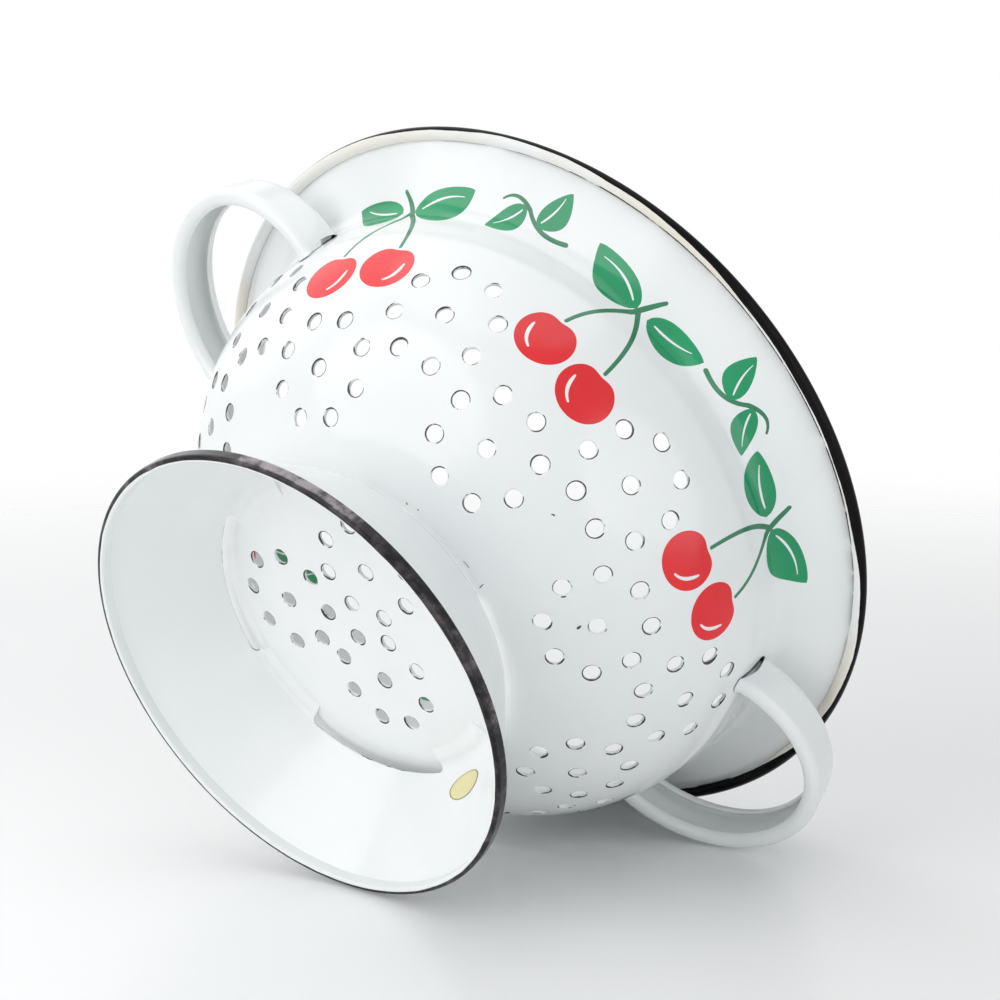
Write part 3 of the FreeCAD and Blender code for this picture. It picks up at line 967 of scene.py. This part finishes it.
neck_slope = math.asin((NECK_R - BOTTOM_MID[0]) / BOTTOM_BEND)
SLOT_EDGE = BOTTOM_MID[1] - BOTTOM_BEND * math.cos(neck_slope) - SLOT_GAP
WALL_LOW = np.array([FOOT_R - SHEET, HEM_HEIGHT])
WALL_UP = unit(np.array([NECK_R, SLOT_EDGE]) - WALL_LOW)
WALL_IN = left_of(WALL_UP)
bend_line = WALL_LOW + WALL_IN * NECK_BEND
base = bend_line - BOTTOM_MID
half = base @ WALL_UP
reach = -half - math.sqrt(half * half - base @ base + (BOTTOM_BEND + NECK_BEND) ** 2)
NECK_MID = bend_line + WALL_UP * reach
to_bowl = unit(BOTTOM_MID - NECK_MID)
touch = NECK_MID + to_bowl * NECK_BEND
out_degrees = math.degrees(turn_of(-WALL_IN))
in_degrees = math.degrees(turn_of(to_bowl))

seat_r = np.linspace(touch[0], touch[0] - SEAT_LAP, SEAT_STEPS)
seat_z = BOTTOM_MID[1] - np.sqrt(BOTTOM_BEND ** 2 - (seat_r - BOTTOM_MID[0]) ** 2) - SEAT_GAP
seat_thick = SHEET * (1 + np.cos(np.linspace(0, math.pi, SEAT_STEPS))) / 2
bend_out = arc(NECK_MID, NECK_BEND, out_degrees, in_degrees, STEPS)
bend_in = arc(NECK_MID, NECK_BEND - SHEET, out_degrees, in_degrees, STEPS)
HEM_INSIDE = FOOT_R - 2 * SHEET
inner_low = WALL_LOW + WALL_IN * SHEET
inner_low = inner_low + WALL_UP * ((HEM_INSIDE - inner_low[0]) / WALL_UP[0])


def sheet_line(low, bend, seat_height):
    """One side of the foot's sheet: up the wall, round the bend and along the seat."""
    seat = np.stack([seat_r, seat_height], -1)
    return np.concatenate([np.linspace(low, bend[0], STEPS)[:-1], bend, seat[1:]])


sheet_out = sheet_line(WALL_LOW, bend_out, seat_z)
sheet_in = sheet_line(inner_low, bend_in, seat_z - seat_thick)
sheet_length = np.append(0, np.cumsum(np.linalg.norm(np.diff(sheet_out, axis=0), axis=1)))
print("the foot's sheet is %.1f mm long, from the hem to the end of the seat" % sheet_length[-1])

# %% [markdown]
# Where a tab touches the bowl, enamel has run into the corner and made a fillet. It is a curve that leaves
# the tab's bend and meets the bowl, each without a kink, and then dips into the bowl.

# %% The fillet above a tab
FILLET = 3.2
FILLET_REACH = 4.0
FILLET_FULL = 0.6
FILLET_STEPS = 12
BURIED = 0.5
leave = math.radians(in_degrees) - FILLET / NECK_BEND
fillet_start = NECK_MID + NECK_BEND * toward(leave)
start_way = left_of(toward(leave))
s_end = S_FLAT + BOTTOM_BEND * math.asin((touch[0] - BOTTOM_MID[0]) / BOTTOM_BEND) + FILLET_REACH
fillet_end = np.array(line_at(s_end))
end_way = toward(slope_at(s_end))
ahead_by = np.linalg.solve(np.stack([start_way, end_way], -1), fillet_end - fillet_start)
fillet_corner = fillet_start + start_way * ahead_by[0]
fillet_bow = FILLET_FULL * fillet_corner + (1 - FILLET_FULL) / 2 * (fillet_start + fillet_end)
fillet = bowed(fillet_start, fillet_bow, fillet_end, FILLET_STEPS)
buried = fillet_end + BURIED * left_of(end_way)
print("the fillet ends %.1f mm above the tab's touch" % (fillet_end[1] - touch[1]))

# %% [markdown]
# The mesh is a set of columns round the ring. A column in a slot ends at the slot's edge, a column in a tab
# runs on round the bend to the seat, and the corners of a slot are rounded by columns that end higher and
# higher. A Boolean cut would be simpler to write, but columns keep the edges clean. Each column has its
# turn in degrees, the length at which its wall ends, and whether it is a tab's.

# %% Columns of the foot
SLOT_MIDDLES = [53, 143, 233, 323]
SLOT_HALF = 29.5
SLOT_ROUND = 2.2
ROUND_COLUMNS = 10
SLOT_COLUMNS = 28
TAB_COLUMNS = 17
rising = sheet_out[:, 1].argmax() + 1
slot_length = np.interp(SLOT_EDGE, sheet_out[:rising, 1], sheet_length[:rising])
tab_length = slot_length + SLOT_ROUND
corner = math.degrees(SLOT_ROUND / NECK_R)
rounding = [
    (SLOT_HALF - corner + corner * math.sin(angle), slot_length + SLOT_ROUND * (1 - math.cos(angle)))
    for angle in np.linspace(0, QUARTER, ROUND_COLUMNS)
]
slot_turns = np.linspace(corner - SLOT_HALF, SLOT_HALF - corner, SLOT_COLUMNS)[1:-1]
tab_turns = np.linspace(SLOT_HALF, 90 - SLOT_HALF, TAB_COLUMNS)
columns = []
for middle in SLOT_MIDDLES:
    columns += [(middle - turn, end, False) for turn, end in rounding[::-1]]
    columns += [(middle + turn, slot_length, False) for turn in slot_turns]
    columns += [(middle + turn, end, False) for turn, end in rounding]
    columns += [(middle + turn, tab_length, True) for turn in tab_turns]
print(len(columns), "columns round the foot")

# %% [markdown]
# Every column has the same number of points: up the outside, over its back and down the inside. In a slot
# the back is a half circle, worn at its crest. In a tab it is the fillet and the seat.

# %% Points of the columns
BODY_STEPS = 34
SLOT_WEAR = 0.45
BEND_REST = 2
rest_degrees = out_degrees + math.degrees((tab_length - sheet_length[STEPS - 1]) / NECK_BEND)
bend_rest = arc(NECK_MID, NECK_BEND, rest_degrees, math.degrees(leave), BEND_REST + 2)[1:-1]
hook_rest = np.concatenate([bend_rest, fillet, [buried]])
HOOK_STEPS = 1 + len(hook_rest)


def outward(line):
    """The way that the outside of a line of radius and height faces."""
    return -left_of(unit(np.gradient(line, axis=0)))


def sheet_at(lengths):
    """Points and facing directions of the foot's outside and inside, at lengths up the sheet."""
    lines = [sheet_out, outward(sheet_out), sheet_in, -outward(sheet_in)]
    return [np.stack([np.interp(lengths, sheet_length, side) for side in line.T], -1) for line in lines]


foot_vertices = []
foot_normals = []
foot_lip = []
for degrees, end, is_tab in columns:
    outside, face_out, inside, face_in = sheet_at(np.linspace(0, end, BODY_STEPS))
    swing = np.linspace(0, math.pi, 2 * HOOK_STEPS)
    if is_tab:
        hook_in, hook_face_in = sheet_at(np.linspace(end, sheet_length[-1], HOOK_STEPS))[2:]
        hook_out = np.concatenate([outside[-1:], hook_rest])
        hook_face_out = outward(hook_out)
        hook_face_out[0] = face_out[-1]
        back = np.concatenate([hook_out, hook_in[::-1]])
        back_face = np.concatenate([hook_face_out, hook_face_in[::-1]])
        wear = swing * 0
    else:
        back_face = toward(swing) @ np.stack([face_out[-1], left_of(face_out[-1])])
        back = (outside[-1] + inside[-1]) / 2 + back_face * SHEET / 2
        wear = SLOT_WEAR * np.sin(swing)
    turn = math.radians(degrees)
    foot_vertices.append(around(*np.concatenate([outside, back, inside[::-1]]).T, turn))
    foot_normals.append(around(*np.concatenate([face_out, back_face, face_in[::-1]]).T, turn))
    foot_lip.append(np.pad(wear, BODY_STEPS))
print(len(foot_vertices[0]), "points in a column")

# %% [markdown]
# Columns of one kind are joined by strips of quads. Where a slot's column meets a tab's, the tab's side is
# closed with a strip of its own, so that its edge stays sharp.

# %% Make the foot
per_column = len(foot_vertices[0])
foot_faces = []
for index, (degrees, end, is_tab) in enumerate(columns):
    after = (index + 1) % len(columns)
    if is_tab == columns[after][2]:
        up = np.arange(per_column - 1)
        here = index * per_column + up
        there = after * per_column + up
        foot_faces.append(np.stack([here, here + 1, there + 1, there], -1))
        continue
    tab = index if is_tab else after
    first = sum(len(part) for part in foot_vertices) + np.arange(HOOK_STEPS - 1)
    last = first[0] + 2 * HOOK_STEPS - 1 - np.arange(HOOK_STEPS - 1)
    way = around(1, 0, math.radians(columns[tab][0]) + QUARTER) * (1 if is_tab else -1)
    foot_vertices.append(foot_vertices[tab][BODY_STEPS:-BODY_STEPS])
    foot_normals.append(np.tile(way, (2 * HOOK_STEPS, 1)))
    foot_lip.append(np.zeros(2 * HOOK_STEPS))
    foot_faces.append(np.stack([first, first + 1, last - 1, last], -1))
foot_vertices = np.concatenate(foot_vertices)
foot_normals = np.concatenate(foot_normals)
foot_faces = facing_out(foot_vertices, np.concatenate(foot_faces), foot_normals)
foot_faces = without_flat(foot_vertices, foot_faces)
foot = add_piece(
    "foot_ring", foot_vertices, foot_faces, "enamel", [white], foot_normals,
    lip=np.concatenate(foot_lip),
)
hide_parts("foot")

# %% [markdown]
# ## The hem
# The sheet is folded back on itself at the foot's lower edge, which stiffens it and gives a round edge to
# stand on. The fold is a ring of its own here, as it carries the black, and the lathe makes it too. Standing
# on tables has worn it, most of all on one side.

# %% The hem's shape
HEM_ROUND = 0.9
HEM_TOP_ROUND = 0.55
HEM_TUCK = np.array([-0.2, -0.1])
HEM_FLAT_LOW = 1.0
HEM_FLAT_HIGH = 3.3
HEM_INSIDE_HIGH = 1.4
HEM_ARC_POINTS = 7
HEM_TOP_POINTS = 6
hem_profile = np.concatenate([
    [WALL_LOW + HEM_TUCK],
    arc((FOOT_R - HEM_TOP_ROUND, HEM_HEIGHT - HEM_TOP_ROUND), HEM_TOP_ROUND, 90, 0, HEM_TOP_POINTS),
    np.linspace([FOOT_R, HEM_FLAT_HIGH], [FOOT_R, HEM_FLAT_LOW], HEM_ARC_POINTS),
    arc((FOOT_R - HEM_ROUND, HEM_ROUND), HEM_ROUND, 0, -90, HEM_ARC_POINTS),
    arc((HEM_INSIDE + HEM_ROUND, HEM_ROUND), HEM_ROUND, -90, -180, HEM_ARC_POINTS),
    [[HEM_INSIDE, HEM_FLAT_LOW], [HEM_INSIDE, HEM_INSIDE_HIGH], inner_low],
])
hem_vertices, hem_faces, hem_turns = lathe(hem_profile)
hem_normals = hem_vertices - around(FOOT_R - SHEET, HEM_HEIGHT / 2, hem_turns)
hem_faces = facing_out(hem_vertices, hem_faces, hem_normals)
print(len(hem_profile), "points in the hem's profile")

# %% [markdown]
# The black reaches from the outside of the hem to its underside. It fades out inwards and upwards, in a
# wavy line. The wear spares the lowest edge and is strongest round one turn.

# %% Black on the hem
HEM_WAVES = [(5, 0.25, 0), (17, 0.2, 1.0), (41, 0.12, 0)]
BLACK_UNDER = 0.8
BLACK_TOP = 3.2
UNDER_FADE = 2.2
FULL_COVER = 1.25
WORN_TURN = 66.0
WORN_SPREAD = 13.0
WORN_MOST = 0.85
WORN_LEAST = 0.22
WORN_FROM = 0.2
WORN_RISE = 0.9
hem_height = hem_vertices[:, 2]
hem_depth = FOOT_R - radius_of(hem_vertices)
hem_fade = np.maximum(UNDER_FADE * (hem_depth - BLACK_UNDER), hem_height - BLACK_TOP)
hem_cover = np.clip(FULL_COVER - np.maximum(hem_fade - ripple(hem_turns, HEM_WAVES), 0), 0, 1)
hem_away = np.degrees(apart(hem_turns, WORN_TURN))
hem_high = np.clip((hem_height - WORN_FROM) / WORN_RISE, 0, 1)
hem_wear = hem_high * (WORN_MOST * np.exp(-(hem_away / WORN_SPREAD) ** 2) + WORN_LEAST)
add_piece("foot_hem", hem_vertices, hem_faces, "trim", [hem_black], cover=hem_cover, wear=hem_wear)

# %% [markdown]
# ## The handles
# A handle is a strap with both edges rolled inwards, bent to a loop and welded to the bowl. A curve with a
# bevel could give the loop, but not ends that follow the bowl. So the strap's section is drawn here, as a
# closed line of the distance from the loop's middle and the height, and swept by a formula.

# %% The strap's section
LOOP_R = 41.5
STRAP_HALF = 7.85
ROLL_R = 2.8
STRAP_ROLL_POINTS = 16
STRAP_FACE_POINTS = 8
STRAP_LIP_POINTS = 6
roll_mid = LOOP_R - ROLL_R
roll_high = STRAP_HALF - ROLL_R


def strap_line(radius):
    """One side of the strap's sheet: a roll of a radius, the flat face, and the other roll."""
    face = roll_mid + radius
    return np.concatenate([
        arc((roll_mid, -roll_high), radius, -180, 0, STRAP_ROLL_POINTS),
        np.linspace([face, -roll_high], [face, roll_high], STRAP_FACE_POINTS)[1:-1],
        arc((roll_mid, roll_high), radius, 0, 180, STRAP_ROLL_POINTS),
    ])


strap_out = strap_line(ROLL_R)
strap_in = strap_line(ROLL_R - SHEET)
edge_mid = roll_mid - ROLL_R + SHEET / 2
lip_low = arc((edge_mid, -roll_high), SHEET / 2, 0, 180, STRAP_LIP_POINTS)[1:-1]
lip_high = arc((edge_mid, roll_high), SHEET / 2, -180, 0, STRAP_LIP_POINTS)[1:-1]
section = np.concatenate([strap_out, lip_high, strap_in[::-1], lip_low])
section_face = -left_of(unit(np.roll(section, -1, axis=0) - np.roll(section, 1, axis=0)))
print(len(section), "points in the strap's section")

# %% [markdown]
# Every point of the section runs round the loop until it meets the bowl. There is no plain formula for the
# meeting of a tilted loop and a bowl, so the place is found by halving an interval again and again. The
# outer face stops short of the bowl by a slit that is widest in the middle of the strap.

# %% Where the strap meets the bowl
LOOP_INSET = 2.3
LOOP_DROP = 6.4
LOOP_MID = np.array([WALL_R - LOOP_INSET, 0, BAND_TOP - LOOP_DROP])
LOOP_TILT = math.radians(10)
LOOP_FREE = math.radians(60)
LOOP_PAST = math.radians(135)
HALVINGS = 30
END_SLIT = 1.7
SLIT_DEPTH = 2.6


def on_loop(flat, angle):
    """Points of the strap: a place in its section, at an angle round the loop from its tip."""
    x = flat[..., 0] * np.cos(angle)
    y = flat[..., 0] * np.sin(angle)
    z = flat[..., 1]
    tilted_x = x * math.cos(LOOP_TILT) - z * math.sin(LOOP_TILT)
    tilted_z = x * math.sin(LOOP_TILT) + z * math.cos(LOOP_TILT)
    return np.stack([tilted_x, y, tilted_z], -1) + LOOP_MID


def stand_off(points, flat):
    """Distance from the bowl at which a point of the section ends: the slit of the outer face."""
    share = np.clip((points[..., 2] - LOOP_MID[2] + STRAP_HALF) / (2 * STRAP_HALF), 0, 1)
    outer_face = np.clip(flat[..., 0] - LOOP_R + SLIT_DEPTH, 0, 1)
    return END_SLIT * np.sin(math.pi * share) * outer_face


loop_end = np.full(len(section), LOOP_FREE)
past_end = np.full(len(section), LOOP_PAST)
for halving in range(HALVINGS):
    guess = (loop_end + past_end) / 2
    points = on_loop(section, guess)
    free = locate(points)[0] > stand_off(points, section)
    loop_end = np.where(free, guess, loop_end)
    past_end = np.where(free, past_end, guess)
slit = stand_off(on_loop(section, loop_end), section)
ends = np.degrees([loop_end.min(), loop_end.max()])
print("the strap ends %.1f to %.1f degrees from its tip" % tuple(ends))

# %% [markdown]
# The sweep puts sections close together near the welds, where the strap swells a little, as enamel gathers
# in a corner. The ends are closed by quads between the two sides of the sheet.

# %% Sweep the strap
LOOP_STEPS = 97
WELD_REACH = 2.2
WELD_SWELL = 0.75
WELD_SLIT = 0.3
per_section = len(section)
handle_vertices = []
for share in np.sin(np.linspace(-1, 1, LOOP_STEPS) * QUARTER):
    left = (1 - abs(share)) * loop_end * section[:, 0]
    swell = WELD_SWELL * np.clip(1 - left / WELD_REACH, 0, 1) ** 2 * (slit < WELD_SLIT)
    handle_vertices.append(on_loop(section + section_face * swell[:, None], share * loop_end))
handle_faces = [*grid_faces(LOOP_STEPS, per_section, closed_columns=True)]
sides = np.arange(len(strap_out))
mates = 2 * len(strap_out) + len(lip_high) - 1 - sides
end_quads = np.stack([sides[:-1], sides[1:], mates[1:], mates[:-1]], -1)
handle_faces += [*end_quads[:, ::-1], *(end_quads + (LOOP_STEPS - 1) * per_section)]
print(LOOP_STEPS, "sections with", len(handle_faces), "faces")

# %% [markdown]
# The slits at the ends of the straps are painted dark as shade, for the shadowed hollow behind them. A
# thin patch on the bowl behind each slit and the strap's end sections carry the value lip at its full
# height, which gives them the colour of bare steel. The other handle is the same one, half a turn round
# the axis.

# %% Make the handles
OPEN_SLIT = 0.2
SHADE_PATCH_LIFT = 0.04
SHADE_PATCH_MORE = 0.35
open_sides = sides[slit[sides] > OPEN_SLIT]
start = LOOP_STEPS * per_section
# Painted shade: a thin dark patch on the bowl behind each open slit.
for sign in (1, -1):
    tips = on_loop(section, sign * loop_end)
    s_tip = locate(tips)[1]
    under = on_bowl(s_tip, turn_of(tips)) + SHADE_PATCH_LIFT * facing(s_tip, turn_of(tips))
    near = under[mates[open_sides]]
    far = under[open_sides]
    handle_vertices += [near, far + (far - near) * SHADE_PATCH_MORE]
    handle_faces += [*(start + grid_faces(2, len(open_sides)))[:, ::sign]]
    start += 2 * len(open_sides)
handle_vertices = np.concatenate(handle_vertices)
# Painted shade: the value lip is full at the strap's ends and on the patches, and zero in between.
slit_shade = np.ones(len(handle_vertices))
slit_shade[per_section:(LOOP_STEPS - 1) * per_section] = 0
other_vertices = handle_vertices * np.array([-1, -1, 1])
for name, vertices in (("handle_right", handle_vertices), ("handle_left", other_vertices)):
    handle = add_piece(
        name.replace("handle", "strap"), vertices, handle_faces, "enamel", [white], lip=slit_shade,
    )
    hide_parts(name)

# %% [markdown]
# ## The foil sticker
# A small oval of gold foil is stuck to the inside of the foot. Foil is metal with fine creases. A fully
# metallic shader would only mirror the white foot, so the metal is held back and the gold shows as a
# colour. A Voronoi pattern and a fine noise bend its normals, and a value called rim darkens its edge.

# %% Gold foil
GOLD = (0.88, 0.80, 0.44, 1)
GOLD_DEEP = (0.78, 0.70, 0.36, 1)
GOLD_EDGE = (0.30, 0.25, 0.10, 1)
GRAIN_SHARE = 0.6
CREASE_HEIGHT = 0.0003
foil, tree, shader, place = new_material("gold_foil")
creases = add_node(tree, "ShaderNodeTexVoronoi", {"Vector": place, "Scale": 420.0}, feature="F1")
grain = noise(tree, place, scale=900.0, detail=3.0)
bumps = math_node(tree, "ADD", creases.outputs[0], math_node(tree, "MULTIPLY", grain, GRAIN_SHARE))
edge_line = ramp(tree, attribute(tree, "rim"), 0.92, 0.97)
set_inputs(tree, shader, {
    "Base Color": mix(tree, edge_line, mix(tree, grain, GOLD, GOLD_DEEP), GOLD_EDGE),
    "Normal": bump(tree, bumps, 0.35, CREASE_HEIGHT),
    "Metallic": 0.25,
    "Roughness": 0.3,
})
print("foil:", foil.name)

# %% [markdown]
# The sticker's mesh is made of oval rings that follow the foot's wall. The last ring goes down to the wall
# and gives the foil its thin edge.

# %% Make the sticker
STICKER_TURN = math.radians(-170.7)
STICKER_HEIGHT = 26.6
STICKER_HALF_WIDTH = 8.3
STICKER_HALF_HEIGHT = 4.2
STICKER_THICK = 0.12
STICKER_RINGS = 9
STICKER_SPOKES = 48
spokes = steps_round(STICKER_SPOKES)
wall_in = sheet_in[:STEPS - 1]
sticker_r = np.interp(STICKER_HEIGHT, wall_in[:, 1], wall_in[:, 0])
rings = [(ring, STICKER_THICK) for ring in np.linspace(0, 1, STICKER_RINGS)] + [(1.0, 0.0)]
sticker_vertices = []
for ring, lift in rings:
    along = STICKER_HALF_HEIGHT * ring * np.sin(spokes)
    radial = sticker_r + along * WALL_UP[0]
    height = STICKER_HEIGHT + along * WALL_UP[1]
    turn = STICKER_TURN + STICKER_HALF_WIDTH * ring * np.cos(spokes) / radial
    sticker_vertices.append(around(radial + WALL_IN[0] * lift, height + WALL_IN[1] * lift, turn))
sticker_vertices = np.concatenate(sticker_vertices)
sticker_faces = grid_faces(len(rings), STICKER_SPOKES, closed_columns=True)
inward = -sticker_vertices * np.array([1, 1, 0])
sticker_faces = facing_out(sticker_vertices, sticker_faces, inward)
sticker_faces = without_flat(sticker_vertices, sticker_faces)
add_piece(
    "foil_sticker", sticker_vertices, sticker_faces, "foil", [foil],
    rim=np.repeat([ring for ring, lift in rings], STICKER_SPOKES),
)

# %% [markdown]
# ## The table
# The colander lies on its side, on its hem and its rim. The part keeps its upright frame, so here the table
# is tilted, and not the colander. The table's upward direction is set, and its level is that of the lowest
# point of all pieces along it. The mesh is a round disc.

# %% Lay the table
UP = Vector((0.677, 0.633, 0.375)).normalized()
LOOK = Vector((0.10132, -0.74136, 0.66341)).normalized()
TABLE_R = 1.1
TABLE_RINGS = 12
TABLE_SIDES = 96
standing = [bowl_vertices, rim_vertices, foot_vertices, hem_vertices, handle_vertices, other_vertices]
table_level = float((np.concatenate(standing) @ np.array(UP)).min()) * MM
middle = (Vector(cad_low) + Vector(cad_high)) / 2
table_middle = middle + UP * (table_level - middle.dot(UP))
ahead = (LOOK - UP * LOOK.dot(UP)).normalized()
aside = ahead.cross(UP)
spread = toward(steps_round(TABLE_SIDES)) @ np.array([ahead, aside])
table_vertices = np.array(table_middle) + np.linspace(0, TABLE_R, TABLE_RINGS)[:, None, None] * spread
table_faces = grid_faces(TABLE_RINGS, TABLE_SIDES, closed_columns=True)
table_mesh = bpy.data.meshes.new("table")
table_mesh.from_pydata(table_vertices.reshape(-1, 3).tolist(), [], table_faces.tolist())
if table_mesh.polygons[-1].normal.dot(UP) < 0:
    table_mesh.flip_normals()
table = bpy.data.objects.new("table", table_mesh)
bpy.context.scene.collection.objects.link(table)
table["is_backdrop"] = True
print("table at %.1f mm along its upward direction" % (table_level / MM))

# %% [markdown]
# A table's far edge would draw a line behind the colander. So the paint turns clear with the distance from
# the middle, and the white behind takes over. It is clear from below too, for cameras that look from there.

# %% Paint the table
PAINT = (0.98, 0.98, 0.98, 1)
PAINT_DEEP = (0.95, 0.955, 0.96, 1)
FADE_FROM = 0.32
FADE_TO = 1.0
table_paint, tree, shader, place = new_material("table_paint")
far = add_node(tree, "ShaderNodeVectorMath", {0: place, 1: tuple(table_middle)}, operation="DISTANCE")
below = add_node(tree, "ShaderNodeNewGeometry", {}).outputs["Backfacing"]
hidden = math_node(tree, "MAXIMUM", below, ramp(tree, far.outputs["Value"], FADE_FROM, FADE_TO))
clear_paint = add_node(tree, "ShaderNodeBsdfTransparent", {}).outputs[0]
blend = add_node(tree, "ShaderNodeMixShader", {0: hidden, 1: shader.outputs[0], 2: clear_paint})
set_inputs(tree, shader, {
    "Base Color": mix(tree, noise(tree, place, scale=9.0, detail=4.0), PAINT, PAINT_DEEP),
    "Roughness": 0.32,
})
set_inputs(tree, tree.nodes["Material Output"], {"Surface": blend.outputs[0]})
table_mesh.materials.append(table_paint)
print("the table fades out from %.2f to %.2f m" % (FADE_FROM, FADE_TO))

# %% [markdown]
# ## Light
# White enamel shows its form only in soft shades. Five wide, round lights stand for a room: a window to the
# left gives most of the light, and the ceiling and the walls give it back. A light is placed by how far it
# stands to the right, above the table and towards the camera, in metres. Its power is in watts.

# %% Lights
LIGHT_SIZE = 1.8
LIGHTS = [
    ("window_left", -1.2, 0.6, 0.9, 14.0, (1.0, 0.99, 0.98)),
    ("window_upper_left", -0.9, 1.1, 0.2, 1.8, (1.0, 0.99, 0.98)),
    ("ceiling", 0.0, 1.5, 0.0, 7.6, (1.0, 1.0, 1.0)),
    ("wall_behind", -0.9, 0.9, -0.8, 5.0, (0.98, 0.99, 1.0)),
    ("wall_right", 1.1, 0.15, 1.2, 9.0, (0.96, 0.99, 1.0)),
]
for name, side, up, back, power, colour in LIGHTS:
    lamp = bpy.data.lights.new(name, "AREA")
    lamp.shape = "DISK"
    lamp.size = LIGHT_SIZE
    lamp.energy = power
    lamp.color = colour
    lamp_object = bpy.data.objects.new(name, lamp)
    lamp_object.location = middle + aside * side + UP * up - ahead * back
    lamp_object.rotation_mode = "QUATERNION"
    lamp_object.rotation_quaternion = (middle - lamp_object.location).to_track_quat("-Z", "Y")
    lamp_object.visible_camera = False
    bpy.context.scene.collection.objects.link(lamp_object)
print(len(LIGHTS), "lights")

# %% [markdown]
# A pale sky fills in the shadows. The camera and reflections see plain white in its place, which gives the
# picture a white ground without more light on the enamel.

# %% Sky
SKY = {"Color": (0.94, 0.98, 1.0, 1), "Strength": 0.3}
GROUND = {"Color": (1.0, 1.0, 1.0, 1), "Strength": 1.0}
sky = bpy.data.worlds.new("sky")
bpy.context.scene.world = sky
sky.use_nodes = True
tree = sky.node_tree
tree.nodes.clear()
path = add_node(tree, "ShaderNodeLightPath", {}).outputs
shown = math_node(tree, "MAXIMUM", path["Is Camera Ray"], path["Is Glossy Ray"])
shown = math_node(tree, "MAXIMUM", shown, path["Is Transmission Ray"])
pale = add_node(tree, "ShaderNodeBackground", SKY).outputs[0]
plain = add_node(tree, "ShaderNodeBackground", GROUND).outputs[0]
chosen = add_node(tree, "ShaderNodeMixShader", {0: shown, 1: pale, 2: plain}).outputs[0]
add_node(tree, "ShaderNodeOutputWorld", {"Surface": chosen})
bpy.context.scene.view_settings.view_transform = "Standard"
print("sky of strength", SKY["Strength"])

# %% [markdown]
# ## Camera
# The camera looks at the foot and the side of the bowl, from a little above the table. Its place and its
# directions are given in the part's own frame, so they are plain vectors and not angles.

# %% Camera
RIGHT = Vector((-0.70615, 0.41613, 0.57287)).normalized()
CAMERA_AT = Vector((-66.56, 496.63, -334.46)) * MM
LENS = 73.64
SENSOR = 36.0
NEAREST = 0.01
camera_data = bpy.data.cameras.new("camera")
camera_data.sensor_width = SENSOR
camera_data.lens = LENS
camera_data.clip_start = NEAREST
camera = bpy.data.objects.new("camera", camera_data)
bpy.context.scene.collection.objects.link(camera)
turned_to = Matrix((RIGHT, RIGHT.cross(LOOK), -LOOK)).transposed()
camera.matrix_world = Matrix.Translation(CAMERA_AT) @ turned_to.to_4x4()
bpy.context.scene.camera = camera
print("the camera stands %.2f m from the colander's middle" % (CAMERA_AT - middle).length)

# %% [markdown]
# ## Last look at the size
# The dressed part should fill the same box as the CAD part. Its box is printed, as the CAD box was at the
# start.

# %% Print the size and finish
low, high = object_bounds()
print("visual box from", tuple(low), "to", tuple(high))
